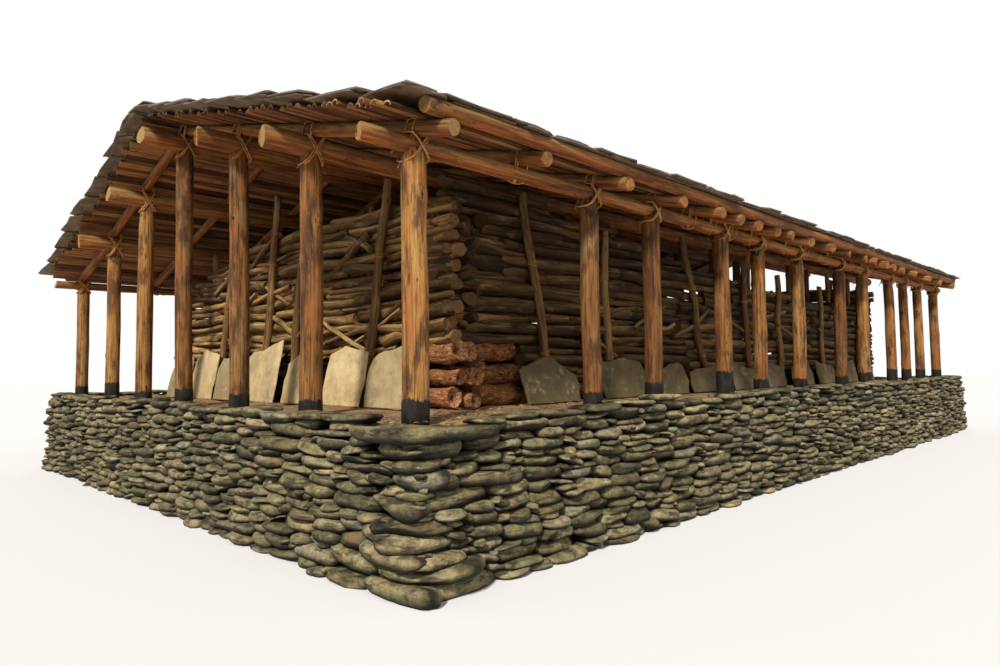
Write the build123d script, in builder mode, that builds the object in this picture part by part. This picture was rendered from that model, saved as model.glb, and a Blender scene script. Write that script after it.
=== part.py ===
from build123d import *
from math import atan2, cos, degrees, radians, sin, tan
import os

os.makedirs("parts", exist_ok=True)

# Sizes in millimetres. X runs along the ridge, Y from the front eave to the back eave, Z up.
# The origin is on the ground under the centre of the whole house.

# Main sizes: from the first to the last post along the ridge, and across the gable
house_length = 13818
house_depth = 8057

# Places of twelve posts along each side and seven across each gable, as shares of those sizes
long_post_places = [
    0, 0.1419, 0.2139, 0.3198, 0.3883, 0.4767,
    0.5939, 0.6734, 0.7750, 0.8418, 0.9122, 1,
]
gable_post_places = [0, 0.1707, 0.3371, 0.5068, 0.6613, 0.8158, 1]
ridge_line = len(gable_post_places) // 2
last_line = len(gable_post_places) - 1

# Stone platform
earth_height = 1050
kerb_rise = 45
wall_top_thickness = 240
margin_left = 340
margin_right = 430
margin_front = 400
margin_back = 500
wall_batter = 70
corner_radius = 200

# Clearance left between pieces that rest on or against each other
seat = 0.3

# Posts, purlins, rafters
post_radius = 88
purlin_radius = [62, 90, 90, 92, 90, 90, 55]
purlin_overhang = [440, 420, 410, 463, 430, 430, 360]
rafter_radius = 55
rafter_tail_front = 380
rafter_tail_back = 330
front_rafter_low = 1958
ridge_rafter_low = 2988
back_rafter_low = 1738
rafter_places = [
    0.0007, 0.0745, 0.1450, 0.2163, 0.2673, 0.2998,
    0.3357, 0.3730, 0.3983, 0.4467, 0.4945,
]
eave_pole_radius = 56
eave_pole_reach = 330
eave_pole_start = -170

# Deck strips and slates
deck_thickness = 38
deck_overhang = 380
deck_clear_of_pole = 16
slate_thickness = 28
slate_clear_of_pole = 1.2
verge_overhang = 500
slate_courses = 9
slate_lap = 110
slate_reach_front = 430
slate_reach_back = 400
ridge_slab_width = 520

# Log house inside the posts: its gable walls stand in from the end posts, its long walls
# just outside the second and the last but one post line
wall_inset = 1036
front_wall_before_posts = 313
back_wall_behind_posts = 422
log_radius = 62
log_end_reach = 100
full_courses = 12
gable_upper_ends = [0.7881, 0.7075, 0.6330, 0.5337]
front_upper_ends = [0.5066, 0.3401, 0.3112, 0.1954, 0.1737]
back_wall_courses = 11
fern_radius = 103
fern_courses = 3
fern_columns = 2
fern_reach = 40
fern_length_along_gable = 800
fern_length_along_front = 700
fern_log_courses = 5
doorway_place = 0.3692
doorway_width = 850
doorway_courses = 13
pole_radius = 47
inner_pole_radius = 45
inner_post_radius = 78
inner_post_places = [0.241, 0.5, 0.759]

# Poles that hold the log walls: places of foot and head as shares, and height of the head
front_poles = [
    (0.1788, 0.1552, 2110),
    (0.2498, 0.2563, 1900),
    (0.4329, 0.3742, 2080),
    (0.5186, 0.5061, 1938),
    (0.5980, 0.5939, 1816),
    (0.7307, 0.7251, 1760),
    (0.8698, 0.8786, 1900),
]
left_poles = [
    (0.2572, 0.2095, 2182),
    (0.4365, 0.4088, 1800),
    (0.5353, 0.4762, 2444),
    (0.6839, 0.6352, 1800),
    (0.8390, 0.8216, 1600),
]
inner_long_poles = [0.1751, 0.2866, 0.4024, 0.5500, 0.6658, 0.8033, 0.8865]
inner_gable_poles = [0.2793, 0.4158, 0.5896, 0.7633]
inner_pole_height_front = 2090
inner_pole_height_gable = 2040
inner_pole_height_back = 1690
back_pole_height = 1750

# Slate slabs that lean on the wall foot: start and width as shares, and height of the peak
slab_thickness = 30
slab_lean = radians(12)
slab_clear = 6
front_slabs = [
    (0.1411, 0.0615, 480),
    (0.2330, 0.0637, 470),
    (0.3068, 0.0608, 400),
    (0.3734, 0.0637, 390),
    (0.4588, 0.0579, 370),
    (0.5254, 0.0615, 390),
    (0.6065, 0.0637, 440),
    (0.6875, 0.0615, 410),
    (0.7686, 0.0637, 430),
    (0.8424, 0.0608, 410),
]
left_slabs = [
    (0.1316, 0.0918, 640),
    (0.2309, 0.0894, 620),
    (0.3277, 0.0943, 650),
    (0.4419, 0.1018, 740),
    (0.5523, 0.0943, 650),
    (0.6528, 0.0943, 680),
    (0.7546, 0.0968, 610),
]

# Derived lines of the house
wall_height = earth_height + kerb_rise
base_front = margin_front + wall_batter
base_back = margin_back + wall_batter
base_left = margin_left + wall_batter
base_right = margin_right + wall_batter
x0 = -house_length / 2
y0 = -(house_depth + base_back - base_front) / 2
z0 = earth_height


# Turns a share of the length or of the depth into a place on the ground
def along_x(share):
    return x0 + share * house_length


def along_y(share):
    return y0 + share * house_depth


long_posts = [along_x(place) for place in long_post_places]
gable_posts = [along_y(place) for place in gable_post_places]
front_y = gable_posts[0]
ridge_y = gable_posts[ridge_line]
back_y = gable_posts[last_line]
front_slope = atan2(ridge_rafter_low - front_rafter_low, ridge_y - front_y)
back_slope = atan2(ridge_rafter_low - back_rafter_low, back_y - ridge_y)


# Height of the rafters' underside over a point of the plan
def rafter_low(y):
    if y <= ridge_y:
        return z0 + ridge_rafter_low - (ridge_y - y) * tan(front_slope)
    return z0 + ridge_rafter_low - (y - ridge_y) * tan(back_slope)


# Slope on which a purlin carries its rafters
def slope_at(line):
    return front_slope if line < ridge_line else back_slope


# Height of a purlin's axis, set so that the rafters rest on it
def purlin_height(line):
    drop = (purlin_radius[line] + seat) / cos(slope_at(line))
    return rafter_low(gable_posts[line]) - drop


# Post height to the underside of the purlin it carries
def post_height(line):
    return purlin_height(line) - purlin_radius[line] - seat - (z0 + seat)


# Height of a log course above the earth
def course_height(course, radius=log_radius):
    return z0 + seat + radius + course * (2 * radius + seat)


# Turns distance up the slope from the ridge plane and height above the rafters into Y and Z
def on_front(along, above):
    y = ridge_y - along * cos(front_slope) - above * sin(front_slope)
    z = z0 + ridge_rafter_low - along * sin(front_slope) + above * cos(front_slope)
    return (y, z)


def on_back(along, above):
    y = ridge_y + along * cos(back_slope) + above * sin(back_slope)
    z = z0 + ridge_rafter_low - along * sin(back_slope) + above * cos(back_slope)
    return (y, z)


# Layers of the roof measured square to the slope
rafter_top = seat + 2 * rafter_radius
deck_low = rafter_top + seat
deck_top = deck_low + deck_thickness
pole_y = front_y - eave_pole_reach
pole_above = rafter_top + seat + eave_pole_radius
slate_above = pole_above + eave_pole_radius + slate_thickness
front_run = (ridge_y - front_y + slate_reach_front) / cos(front_slope)
front_run = front_run - slate_above * tan(front_slope)
back_run = (back_y - ridge_y + slate_reach_back) / cos(back_slope)
back_run = back_run - slate_above * tan(back_slope)
front_pole_along = (ridge_y - pole_y) / cos(front_slope) - pole_above * tan(front_slope)
back_pole_y = back_y + rafter_tail_back - eave_pole_radius
back_pole_along = (back_pole_y - ridge_y) / cos(back_slope) - pole_above * tan(back_slope)
deck_end_front = front_pole_along - eave_pole_radius - deck_clear_of_pole
deck_end_back = back_pole_along - eave_pole_radius - deck_clear_of_pole


# Corner points of each slate course: the foot lies on the course below, the head on the deck
def slate_profiles(run, pole_along):
    exposure = run / slate_courses
    length = exposure + slate_lap
    pole_rise = pole_above + eave_pole_radius + slate_clear_of_pole - deck_top
    foot = pole_rise * length / (length - (run - pole_along)) + seat
    profiles = []
    for course in range(slate_courses):
        start = run - course * exposure
        end = max(start - length, seat)
        head = seat
        if end > start - length:
            head = foot - (foot - seat) * (start - end) / length
        low = deck_top + foot
        high = deck_top + head
        profiles.append(
            [
                (start, low),
                (end, high),
                (end, high + slate_thickness),
                (start, low + slate_thickness),
            ]
        )
        fall = (foot - seat) * exposure / length
        foot = foot - fall + slate_thickness + seat
    return profiles


front_profiles = slate_profiles(front_run, front_pole_along)
back_profiles = slate_profiles(back_run, back_pole_along)

# Stone retaining walls, cut from one battered block with rounded corners
base_length = house_length + base_left + base_right
base_width = house_depth + base_front + base_back
base_x = (base_right - base_left) / 2
batter_angle = degrees(atan2(wall_batter, wall_height))
inner_left = x0 - margin_left + wall_top_thickness
inner_right = x0 + house_length + margin_right - wall_top_thickness
inner_front = front_y - margin_front + wall_top_thickness
inner_back = back_y + margin_back - wall_top_thickness

with BuildPart() as front_retaining_wall:
    with BuildSketch(Plane.XY):
        with Locations((base_x, 0)):
            RectangleRounded(base_length, base_width, corner_radius)
    extrude(amount=wall_height, taper=batter_angle)
    with BuildSketch(Plane.XY):
        with Locations((base_x, inner_front)):
            Rectangle(base_length, base_width, align=(Align.CENTER, Align.MAX))
    extrude(amount=wall_height, mode=Mode.INTERSECT)

with BuildPart() as back_retaining_wall:
    with BuildSketch(Plane.XY):
        with Locations((base_x, 0)):
            RectangleRounded(base_length, base_width, corner_radius)
    extrude(amount=wall_height, taper=batter_angle)
    with BuildSketch(Plane.XY):
        with Locations((base_x, inner_back)):
            Rectangle(base_length, base_width, align=(Align.CENTER, Align.MIN))
    extrude(amount=wall_height, mode=Mode.INTERSECT)

side_y = (inner_front + inner_back) / 2
side_width = inner_back - inner_front - 2 * seat

with BuildPart() as left_retaining_wall:
    with BuildSketch(Plane.XZ.offset(-(side_y - side_width / 2))):
        with BuildLine():
            Polyline(
                (x0 - base_left, 0),
                (inner_left, 0),
                (inner_left, wall_height),
                (x0 - margin_left, wall_height),
                close=True,
            )
        make_face()
    extrude(amount=-side_width)

with BuildPart() as right_retaining_wall:
    with BuildSketch(Plane.XZ.offset(-(side_y - side_width / 2))):
        with BuildLine():
            Polyline(
                (inner_right, 0),
                (x0 + house_length + base_right, 0),
                (x0 + house_length + margin_right, wall_height),
                (inner_right, wall_height),
                close=True,
            )
        make_face()
    extrude(amount=-side_width)

with BuildPart() as earth_fill:
    with BuildSketch(Plane.XY):
        with Locations(((inner_left + inner_right) / 2, side_y)):
            Rectangle(inner_right - inner_left - 2 * seat, side_width)
    extrude(amount=earth_height)

# Posts stand on the earth and reach up to their purlins
with BuildPart() as front_posts:
    with BuildSketch(Plane.XY.offset(z0 + seat)):
        with Locations([(x, front_y) for x in long_posts]):
            Circle(post_radius)
    extrude(amount=post_height(0))

with BuildPart() as back_posts:
    with BuildSketch(Plane.XY.offset(z0 + seat)):
        with Locations([(x, back_y) for x in long_posts]):
            Circle(post_radius)
    extrude(amount=post_height(last_line))

with BuildPart() as left_posts:
    for line in range(1, last_line):
        with BuildSketch(Plane.XY.offset(z0 + seat)):
            with Locations((long_posts[0], gable_posts[line])):
                Circle(post_radius)
        extrude(amount=post_height(line))

with BuildPart() as right_posts:
    for line in range(1, last_line):
        with BuildSketch(Plane.XY.offset(z0 + seat)):
            with Locations((long_posts[-1], gable_posts[line])):
                Circle(post_radius)
        extrude(amount=post_height(line))

with BuildPart() as inner_posts:
    for line in range(1, last_line):
        with BuildSketch(Plane.XY.offset(z0 + seat)):
            with Locations([(along_x(place), gable_posts[line]) for place in inner_post_places]):
                Circle(inner_post_radius)
        extrude(amount=post_height(line))


# Plane across the ridge direction at a purlin's left end
def purlin_plane(line):
    return Plane(
        origin=(x0 - purlin_overhang[line], gable_posts[line], purlin_height(line)),
        z_dir=(1, 0, 0),
    )


# Purlins run the whole length on the gable posts and pass beyond them
with BuildPart() as front_eave_purlin:
    with BuildSketch(purlin_plane(0)):
        Circle(purlin_radius[0])
    extrude(amount=house_length + 2 * purlin_overhang[0])

with BuildPart() as front_lower_purlin:
    with BuildSketch(purlin_plane(1)):
        Circle(purlin_radius[1])
    extrude(amount=house_length + 2 * purlin_overhang[1])

with BuildPart() as front_upper_purlin:
    with BuildSketch(purlin_plane(2)):
        Circle(purlin_radius[2])
    extrude(amount=house_length + 2 * purlin_overhang[2])

with BuildPart() as ridge_purlin:
    with BuildSketch(purlin_plane(3)):
        Circle(purlin_radius[3])
    extrude(amount=house_length + 2 * purlin_overhang[3])

with BuildPart() as back_upper_purlin:
    with BuildSketch(purlin_plane(4)):
        Circle(purlin_radius[4])
    extrude(amount=house_length + 2 * purlin_overhang[4])

with BuildPart() as back_lower_purlin:
    with BuildSketch(purlin_plane(5)):
        Circle(purlin_radius[5])
    extrude(amount=house_length + 2 * purlin_overhang[5])

with BuildPart() as back_eave_purlin:
    with BuildSketch(purlin_plane(6)):
        Circle(purlin_radius[6])
    extrude(amount=house_length + 2 * purlin_overhang[6])

# Rafters run down each slope on top of the purlins and meet at the ridge
rafter_x = [along_x(place) for place in rafter_places]
rafter_x = rafter_x + [along_x(1 - place) for place in rafter_places]
tail_front = (ridge_y - front_y + rafter_tail_front) / cos(front_slope)
tail_back = (back_y - ridge_y + rafter_tail_back) / cos(back_slope)

with BuildPart() as front_rafters:
    for x in rafter_x:
        y, z = on_front(tail_front, seat + rafter_radius)
        with BuildSketch(Plane(origin=(x, y, z), z_dir=(0, cos(front_slope), sin(front_slope)))):
            Circle(rafter_radius)
        extrude(amount=tail_front + 4 * rafter_radius)
    split(bisect_by=Plane.XZ.offset(seat - ridge_y), keep=Keep.TOP)

with BuildPart() as back_rafters:
    for x in rafter_x:
        y, z = on_back(tail_back, seat + rafter_radius)
        with BuildSketch(Plane(origin=(x, y, z), z_dir=(0, -cos(back_slope), sin(back_slope)))):
            Circle(rafter_radius)
        extrude(amount=tail_back + 4 * rafter_radius)
    split(bisect_by=Plane.XZ.offset(-seat - ridge_y), keep=Keep.BOTTOM)

# Eave poles lie on the rafter tails and lift the lowest slates
pole_length = house_length - 2 * eave_pole_start

with BuildPart() as front_eave_pole:
    y, z = on_front(front_pole_along, pole_above)
    with BuildSketch(Plane(origin=(x0 + eave_pole_start, y, z), z_dir=(1, 0, 0))):
        Circle(eave_pole_radius)
    extrude(amount=pole_length)

with BuildPart() as back_eave_pole:
    y, z = on_back(back_pole_along, pole_above)
    with BuildSketch(Plane(origin=(x0 + eave_pole_start, y, z), z_dir=(1, 0, 0))):
        Circle(eave_pole_radius)
    extrude(amount=pole_length)

# Strip decks lie on the rafters from the eave poles up to the ridge
deck_half = house_length / 2 + deck_overhang
slate_half = house_length / 2 + verge_overhang


# Point of the deck's cut at the ridge plane, at a height square to the slope
def ridge_cut(slope, above):
    return seat / cos(slope) - above * tan(slope)


with BuildPart() as front_roof_deck:
    with BuildSketch(Plane.YZ.offset(-deck_half)):
        with BuildLine():
            Polyline(
                on_front(deck_end_front, deck_low),
                on_front(ridge_cut(front_slope, deck_low), deck_low),
                on_front(ridge_cut(front_slope, deck_top), deck_top),
                on_front(deck_end_front, deck_top),
                close=True,
            )
        make_face()
    extrude(amount=2 * deck_half)

with BuildPart() as back_roof_deck:
    with BuildSketch(Plane.YZ.offset(-deck_half)):
        with BuildLine():
            Polyline(
                on_back(deck_end_back, deck_low),
                on_back(ridge_cut(back_slope, deck_low), deck_low),
                on_back(ridge_cut(back_slope, deck_top), deck_top),
                on_back(deck_end_back, deck_top),
                close=True,
            )
        make_face()
    extrude(amount=2 * deck_half)

# Slates in stepped courses from eave to ridge
with BuildPart() as front_slates:
    for profile in front_profiles:
        with BuildSketch(Plane.YZ.offset(-slate_half)):
            with BuildLine():
                Polyline(*[on_front(along, above) for along, above in profile], close=True)
            make_face()
        extrude(amount=2 * slate_half)

with BuildPart() as back_slates:
    for profile in back_profiles:
        with BuildSketch(Plane.YZ.offset(-slate_half)):
            with BuildLine():
                Polyline(*[on_back(along, above) for along, above in profile], close=True)
            make_face()
        extrude(amount=2 * slate_half)

# Flat slabs laid over the ridge joint
ridge_top_front = on_front(*front_profiles[-1][2])[1]
ridge_top_back = on_back(*back_profiles[-1][2])[1]

with BuildPart() as ridge_slates:
    with BuildSketch(Plane.XY.offset(max(ridge_top_front, ridge_top_back) + seat)):
        with Locations((0, ridge_y)):
            Rectangle(2 * slate_half, ridge_slab_width)
    extrude(amount=slate_thickness)

# Log walls: courses of logs laid on each other, gable logs passing the corners
left_log_x = x0 + wall_inset + log_radius
right_log_x = -left_log_x
front_log_y = gable_posts[1] - front_wall_before_posts
back_log_y = gable_posts[last_line - 1] + back_wall_behind_posts
gable_wall_start = front_log_y - log_radius - log_end_reach
gable_wall_end = back_log_y + log_radius + log_end_reach
long_wall_start = left_log_x + log_radius + seat
long_wall_end = right_log_x - log_radius - seat
gable_ends = [gable_wall_end] * full_courses + [along_y(place) for place in gable_upper_ends]
front_ends = [long_wall_end] * full_courses + [along_x(place) for place in front_upper_ends]
door_start = along_y(doorway_place)
door_end = door_start + doorway_width
fern_gable_start = gable_wall_start - fern_reach
fern_gable_end = fern_gable_start + fern_length_along_gable
fern_step = 2 * fern_radius + seat
fern_front_start = left_log_x - log_radius + fern_columns * fern_step
fern_front_end = fern_front_start + fern_length_along_front


def course_start(course, behind_fern, plain):
    return behind_fern + seat if course < fern_log_courses else plain


with BuildPart() as left_log_wall:
    for course, end in enumerate(gable_ends):
        start = course_start(course, fern_gable_end, gable_wall_start)
        centre = (left_log_x, start, course_height(course))
        with BuildSketch(Plane(origin=centre, z_dir=(0, 1, 0))):
            Circle(log_radius)
        extrude(amount=end - start)

with BuildPart() as right_log_wall:
    for course, end in enumerate(gable_ends):
        spans = [(gable_wall_start, end)]
        if course < doorway_courses:
            spans = [(gable_wall_start, door_start), (door_end, end)]
        for near, far in spans:
            centre = (right_log_x, near, course_height(course))
            with BuildSketch(Plane(origin=centre, z_dir=(0, 1, 0))):
                Circle(log_radius)
            extrude(amount=far - near)

with BuildPart() as front_log_wall:
    for course, end in enumerate(front_ends):
        start = course_start(course, fern_front_end, long_wall_start)
        centre = (start, front_log_y, course_height(course))
        with BuildSketch(Plane(origin=centre, z_dir=(1, 0, 0))):
            Circle(log_radius)
        extrude(amount=end - start)

with BuildPart() as back_log_wall:
    for course in range(back_wall_courses):
        centre = (long_wall_start, back_log_y, course_height(course))
        with BuildSketch(Plane(origin=centre, z_dir=(1, 0, 0))):
            Circle(log_radius)
        extrude(amount=long_wall_end - long_wall_start)

# Tree-fern trunks make the lowest courses at the front left corner
with BuildPart() as fern_trunks:
    fern_x = left_log_x - log_radius + fern_radius
    for course in range(fern_courses):
        height = course_height(course, fern_radius)
        for column in range(fern_columns):
            x = fern_x + column * fern_step
            with BuildSketch(Plane(origin=(x, fern_gable_start, height), z_dir=(0, 1, 0))):
                Circle(fern_radius)
            extrude(amount=fern_length_along_gable)
        y = front_log_y - log_radius + fern_radius
        with BuildSketch(Plane(origin=(fern_front_start, y, height), z_dir=(1, 0, 0))):
            Circle(fern_radius)
        extrude(amount=fern_length_along_front - seat)

# Poles outside the log walls
outer_front_y = front_log_y - log_radius - seat - pole_radius
outer_back_y = back_log_y + log_radius + seat + pole_radius
outer_left_x = left_log_x - log_radius - seat - pole_radius

with BuildPart() as front_wall_poles:
    for foot, head, height in front_poles:
        with BuildSketch(Plane.XY.offset(z0 + seat)):
            with Locations((along_x(foot), outer_front_y)):
                Circle(pole_radius)
        lean = Vector((head - foot) * house_length, 0, height)
        extrude(amount=lean.length, dir=lean.normalized())

with BuildPart() as back_wall_poles:
    for foot, head, height in front_poles:
        with BuildSketch(Plane.XY.offset(z0 + seat)):
            with Locations((along_x(foot), outer_back_y)):
                Circle(pole_radius)
        lean = Vector((head - foot) * house_length, 0, back_pole_height)
        extrude(amount=lean.length, dir=lean.normalized())

with BuildPart() as left_wall_poles:
    for foot, head, height in left_poles:
        with BuildSketch(Plane.XY.offset(z0 + seat)):
            with Locations((outer_left_x, along_y(foot))):
                Circle(pole_radius)
        lean = Vector(0, (head - foot) * house_depth, height)
        extrude(amount=lean.length, dir=lean.normalized())

door_poles = [door_start - pole_radius, door_end + pole_radius]

with BuildPart() as right_wall_poles:
    for foot, head, height in left_poles[:1] + left_poles[3:]:
        with BuildSketch(Plane.XY.offset(z0 + seat)):
            with Locations((-outer_left_x, along_y(foot))):
                Circle(pole_radius)
        lean = Vector(0, (head - foot) * house_depth, height)
        extrude(amount=lean.length, dir=lean.normalized())
    with BuildSketch(Plane.XY.offset(z0 + seat)):
        with Locations([(-outer_left_x, y) for y in door_poles]):
            Circle(pole_radius)
    extrude(amount=inner_pole_height_gable)

# Poles inside the log walls
inner_front_y = front_log_y + log_radius + seat + inner_pole_radius
inner_back_y = back_log_y - log_radius - seat - inner_pole_radius
inner_left_x = left_log_x + log_radius + seat + inner_pole_radius
gable_pole_y = [along_y(place) for place in inner_gable_poles]

with BuildPart() as inner_wall_poles:
    with BuildSketch(Plane.XY.offset(z0 + seat)):
        with Locations([(along_x(place), inner_front_y) for place in inner_long_poles]):
            Circle(inner_pole_radius)
    extrude(amount=inner_pole_height_front)
    with BuildSketch(Plane.XY.offset(z0 + seat)):
        with Locations([(along_x(place), inner_back_y) for place in inner_long_poles]):
            Circle(inner_pole_radius)
    extrude(amount=inner_pole_height_back)
    with BuildSketch(Plane.XY.offset(z0 + seat)):
        with Locations([(inner_left_x, y) for y in gable_pole_y]):
            Circle(inner_pole_radius)
        with Locations([(-inner_left_x, y) for y in door_poles + gable_pole_y[2:]]):
            Circle(inner_pole_radius)
    extrude(amount=inner_pole_height_gable)


# Outline of a leaning slab: straight sides and a broken, pointed top
def slab_outline(width, height):
    return [
        (0.04 * width, 0),
        (0.97 * width, 0),
        (width, 0.55 * height),
        (0.52 * width, height),
        (0, 0.7 * height),
    ]


# Plane of a slab whose head leans inward, from its outer foot edge
def slab_plane(foot, along, inward):
    up = Vector(*inward) * sin(slab_lean) + Vector(0, 0, cos(slab_lean))
    return Plane(origin=foot, x_dir=along, z_dir=Vector(*along).cross(up))


# Distance from the pole faces out to the foot of a slab
def slab_foot(height):
    return height * sin(slab_lean) + slab_thickness / cos(slab_lean) + slab_clear


slab_lift = z0 + seat + slab_thickness * sin(slab_lean)
pole_face_front = outer_front_y - pole_radius
pole_face_back = outer_back_y + pole_radius
pole_face_left = outer_left_x - pole_radius

with BuildPart() as front_foot_slabs:
    for start, width, height in front_slabs:
        foot = (along_x(start), pole_face_front - slab_foot(height), slab_lift)
        with BuildSketch(slab_plane(foot, (1, 0, 0), (0, 1, 0))):
            with BuildLine():
                Polyline(*slab_outline(width * house_length, height), close=True)
            make_face()
        extrude(amount=-slab_thickness)

with BuildPart() as back_foot_slabs:
    for start, width, height in front_slabs:
        foot = (along_x(1 - start), pole_face_back + slab_foot(height), slab_lift)
        with BuildSketch(slab_plane(foot, (-1, 0, 0), (0, -1, 0))):
            with BuildLine():
                Polyline(*slab_outline(width * house_length, height), close=True)
            make_face()
        extrude(amount=-slab_thickness)

with BuildPart() as left_foot_slabs:
    for start, width, height in left_slabs:
        foot = (pole_face_left - slab_foot(height), along_y(start + width), slab_lift)
        with BuildSketch(slab_plane(foot, (0, -1, 0), (1, 0, 0))):
            with BuildLine():
                Polyline(*slab_outline(width * house_depth, height), close=True)
            make_face()
        extrude(amount=-slab_thickness)

with BuildPart() as right_foot_slabs:
    for start, width, height in left_slabs[:2] + left_slabs[4:]:
        foot = (-pole_face_left + slab_foot(height), along_y(start), slab_lift)
        with BuildSketch(slab_plane(foot, (0, 1, 0), (-1, 0, 0))):
            with BuildLine():
                Polyline(*slab_outline(width * house_depth, height), close=True)
            make_face()
        extrude(amount=-slab_thickness)

front_retaining_wall.part.label = "front_retaining_wall"
export_step(front_retaining_wall.part, "parts/front_retaining_wall.step")
back_retaining_wall.part.label = "back_retaining_wall"
export_step(back_retaining_wall.part, "parts/back_retaining_wall.step")
left_retaining_wall.part.label = "left_retaining_wall"
export_step(left_retaining_wall.part, "parts/left_retaining_wall.step")
right_retaining_wall.part.label = "right_retaining_wall"
export_step(right_retaining_wall.part, "parts/right_retaining_wall.step")
earth_fill.part.label = "earth_fill"
export_step(earth_fill.part, "parts/earth_fill.step")
front_posts.part.label = "front_posts"
export_step(front_posts.part, "parts/front_posts.step")
back_posts.part.label = "back_posts"
export_step(back_posts.part, "parts/back_posts.step")
left_posts.part.label = "left_posts"
export_step(left_posts.part, "parts/left_posts.step")
right_posts.part.label = "right_posts"
export_step(right_posts.part, "parts/right_posts.step")
inner_posts.part.label = "inner_posts"
export_step(inner_posts.part, "parts/inner_posts.step")
front_eave_purlin.part.label = "front_eave_purlin"
export_step(front_eave_purlin.part, "parts/front_eave_purlin.step")
front_lower_purlin.part.label = "front_lower_purlin"
export_step(front_lower_purlin.part, "parts/front_lower_purlin.step")
front_upper_purlin.part.label = "front_upper_purlin"
export_step(front_upper_purlin.part, "parts/front_upper_purlin.step")
ridge_purlin.part.label = "ridge_purlin"
export_step(ridge_purlin.part, "parts/ridge_purlin.step")
back_upper_purlin.part.label = "back_upper_purlin"
export_step(back_upper_purlin.part, "parts/back_upper_purlin.step")
back_lower_purlin.part.label = "back_lower_purlin"
export_step(back_lower_purlin.part, "parts/back_lower_purlin.step")
back_eave_purlin.part.label = "back_eave_purlin"
export_step(back_eave_purlin.part, "parts/back_eave_purlin.step")
front_rafters.part.label = "front_rafters"
export_step(front_rafters.part, "parts/front_rafters.step")
back_rafters.part.label = "back_rafters"
export_step(back_rafters.part, "parts/back_rafters.step")
front_eave_pole.part.label = "front_eave_pole"
export_step(front_eave_pole.part, "parts/front_eave_pole.step")
back_eave_pole.part.label = "back_eave_pole"
export_step(back_eave_pole.part, "parts/back_eave_pole.step")
front_roof_deck.part.label = "front_roof_deck"
export_step(front_roof_deck.part, "parts/front_roof_deck.step")
back_roof_deck.part.label = "back_roof_deck"
export_step(back_roof_deck.part, "parts/back_roof_deck.step")
front_slates.part.label = "front_slates"
export_step(front_slates.part, "parts/front_slates.step")
back_slates.part.label = "back_slates"
export_step(back_slates.part, "parts/back_slates.step")
ridge_slates.part.label = "ridge_slates"
export_step(ridge_slates.part, "parts/ridge_slates.step")
left_log_wall.part.label = "left_log_wall"
export_step(left_log_wall.part, "parts/left_log_wall.step")
right_log_wall.part.label = "right_log_wall"
export_step(right_log_wall.part, "parts/right_log_wall.step")
front_log_wall.part.label = "front_log_wall"
export_step(front_log_wall.part, "parts/front_log_wall.step")
back_log_wall.part.label = "back_log_wall"
export_step(back_log_wall.part, "parts/back_log_wall.step")
fern_trunks.part.label = "fern_trunks"
export_step(fern_trunks.part, "parts/fern_trunks.step")
front_wall_poles.part.label = "front_wall_poles"
export_step(front_wall_poles.part, "parts/front_wall_poles.step")
back_wall_poles.part.label = "back_wall_poles"
export_step(back_wall_poles.part, "parts/back_wall_poles.step")
left_wall_poles.part.label = "left_wall_poles"
export_step(left_wall_poles.part, "parts/left_wall_poles.step")
right_wall_poles.part.label = "right_wall_poles"
export_step(right_wall_poles.part, "parts/right_wall_poles.step")
inner_wall_poles.part.label = "inner_wall_poles"
export_step(inner_wall_poles.part, "parts/inner_wall_poles.step")
front_foot_slabs.part.label = "front_foot_slabs"
export_step(front_foot_slabs.part, "parts/front_foot_slabs.step")
back_foot_slabs.part.label = "back_foot_slabs"
export_step(back_foot_slabs.part, "parts/back_foot_slabs.step")
left_foot_slabs.part.label = "left_foot_slabs"
export_step(left_foot_slabs.part, "parts/left_foot_slabs.step")
right_foot_slabs.part.label = "right_foot_slabs"
export_step(right_foot_slabs.part, "parts/right_foot_slabs.step")
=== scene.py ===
import math

import bpy
import numpy as np
from mathutils import Matrix


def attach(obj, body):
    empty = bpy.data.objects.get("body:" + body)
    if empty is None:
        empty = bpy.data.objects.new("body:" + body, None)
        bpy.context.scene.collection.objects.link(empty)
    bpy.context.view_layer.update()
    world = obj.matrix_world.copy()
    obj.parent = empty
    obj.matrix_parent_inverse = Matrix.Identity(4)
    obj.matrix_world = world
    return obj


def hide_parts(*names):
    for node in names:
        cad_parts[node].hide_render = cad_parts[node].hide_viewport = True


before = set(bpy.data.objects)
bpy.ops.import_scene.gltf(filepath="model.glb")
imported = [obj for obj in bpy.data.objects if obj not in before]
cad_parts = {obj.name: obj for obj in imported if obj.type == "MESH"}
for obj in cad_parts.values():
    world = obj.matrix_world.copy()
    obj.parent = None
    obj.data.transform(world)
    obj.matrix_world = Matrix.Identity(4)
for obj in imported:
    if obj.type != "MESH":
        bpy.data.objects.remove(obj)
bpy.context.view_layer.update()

# Measures in metres, in the house's own frame: x runs from the first front post along the ridge, y from
# the front posts to the back, z up from the ground. SHIFT is where the shared frame's origin lies in it.

SHIFT = np.array([6.909, 4.0785, 0.0])
EARTH = 1.05
KERB = 1.095
LENGTH = 13.818
DEPTH = 8.057
POST_SHARES = (0, 0.1419, 0.2139, 0.3198, 0.3883, 0.4767, 0.5939, 0.6734, 0.775, 0.8418, 0.9122, 1)
POST_X = LENGTH * np.array(POST_SHARES)
POST_Y = DEPTH * np.array([0, 0.1707, 0.3371, 0.5068, 0.6613, 0.8158, 1])
INNER_X = LENGTH * np.array([0.241, 0.5, 0.759])
RAFTER_SHARES = (0.0007, 0.0745, 0.145, 0.2163, 0.2673, 0.2998, 0.3357, 0.373, 0.3983, 0.4467, 0.4945)
RAFTER_X = [LENGTH * share for share in RAFTER_SHARES]
RAFTER_X += [LENGTH - x for x in RAFTER_X]
RIDGE_Y = POST_Y[3]
SEAT = 0.0003
RIDGE_LOW = 2.988
FRONT_LOW = 1.958
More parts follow.
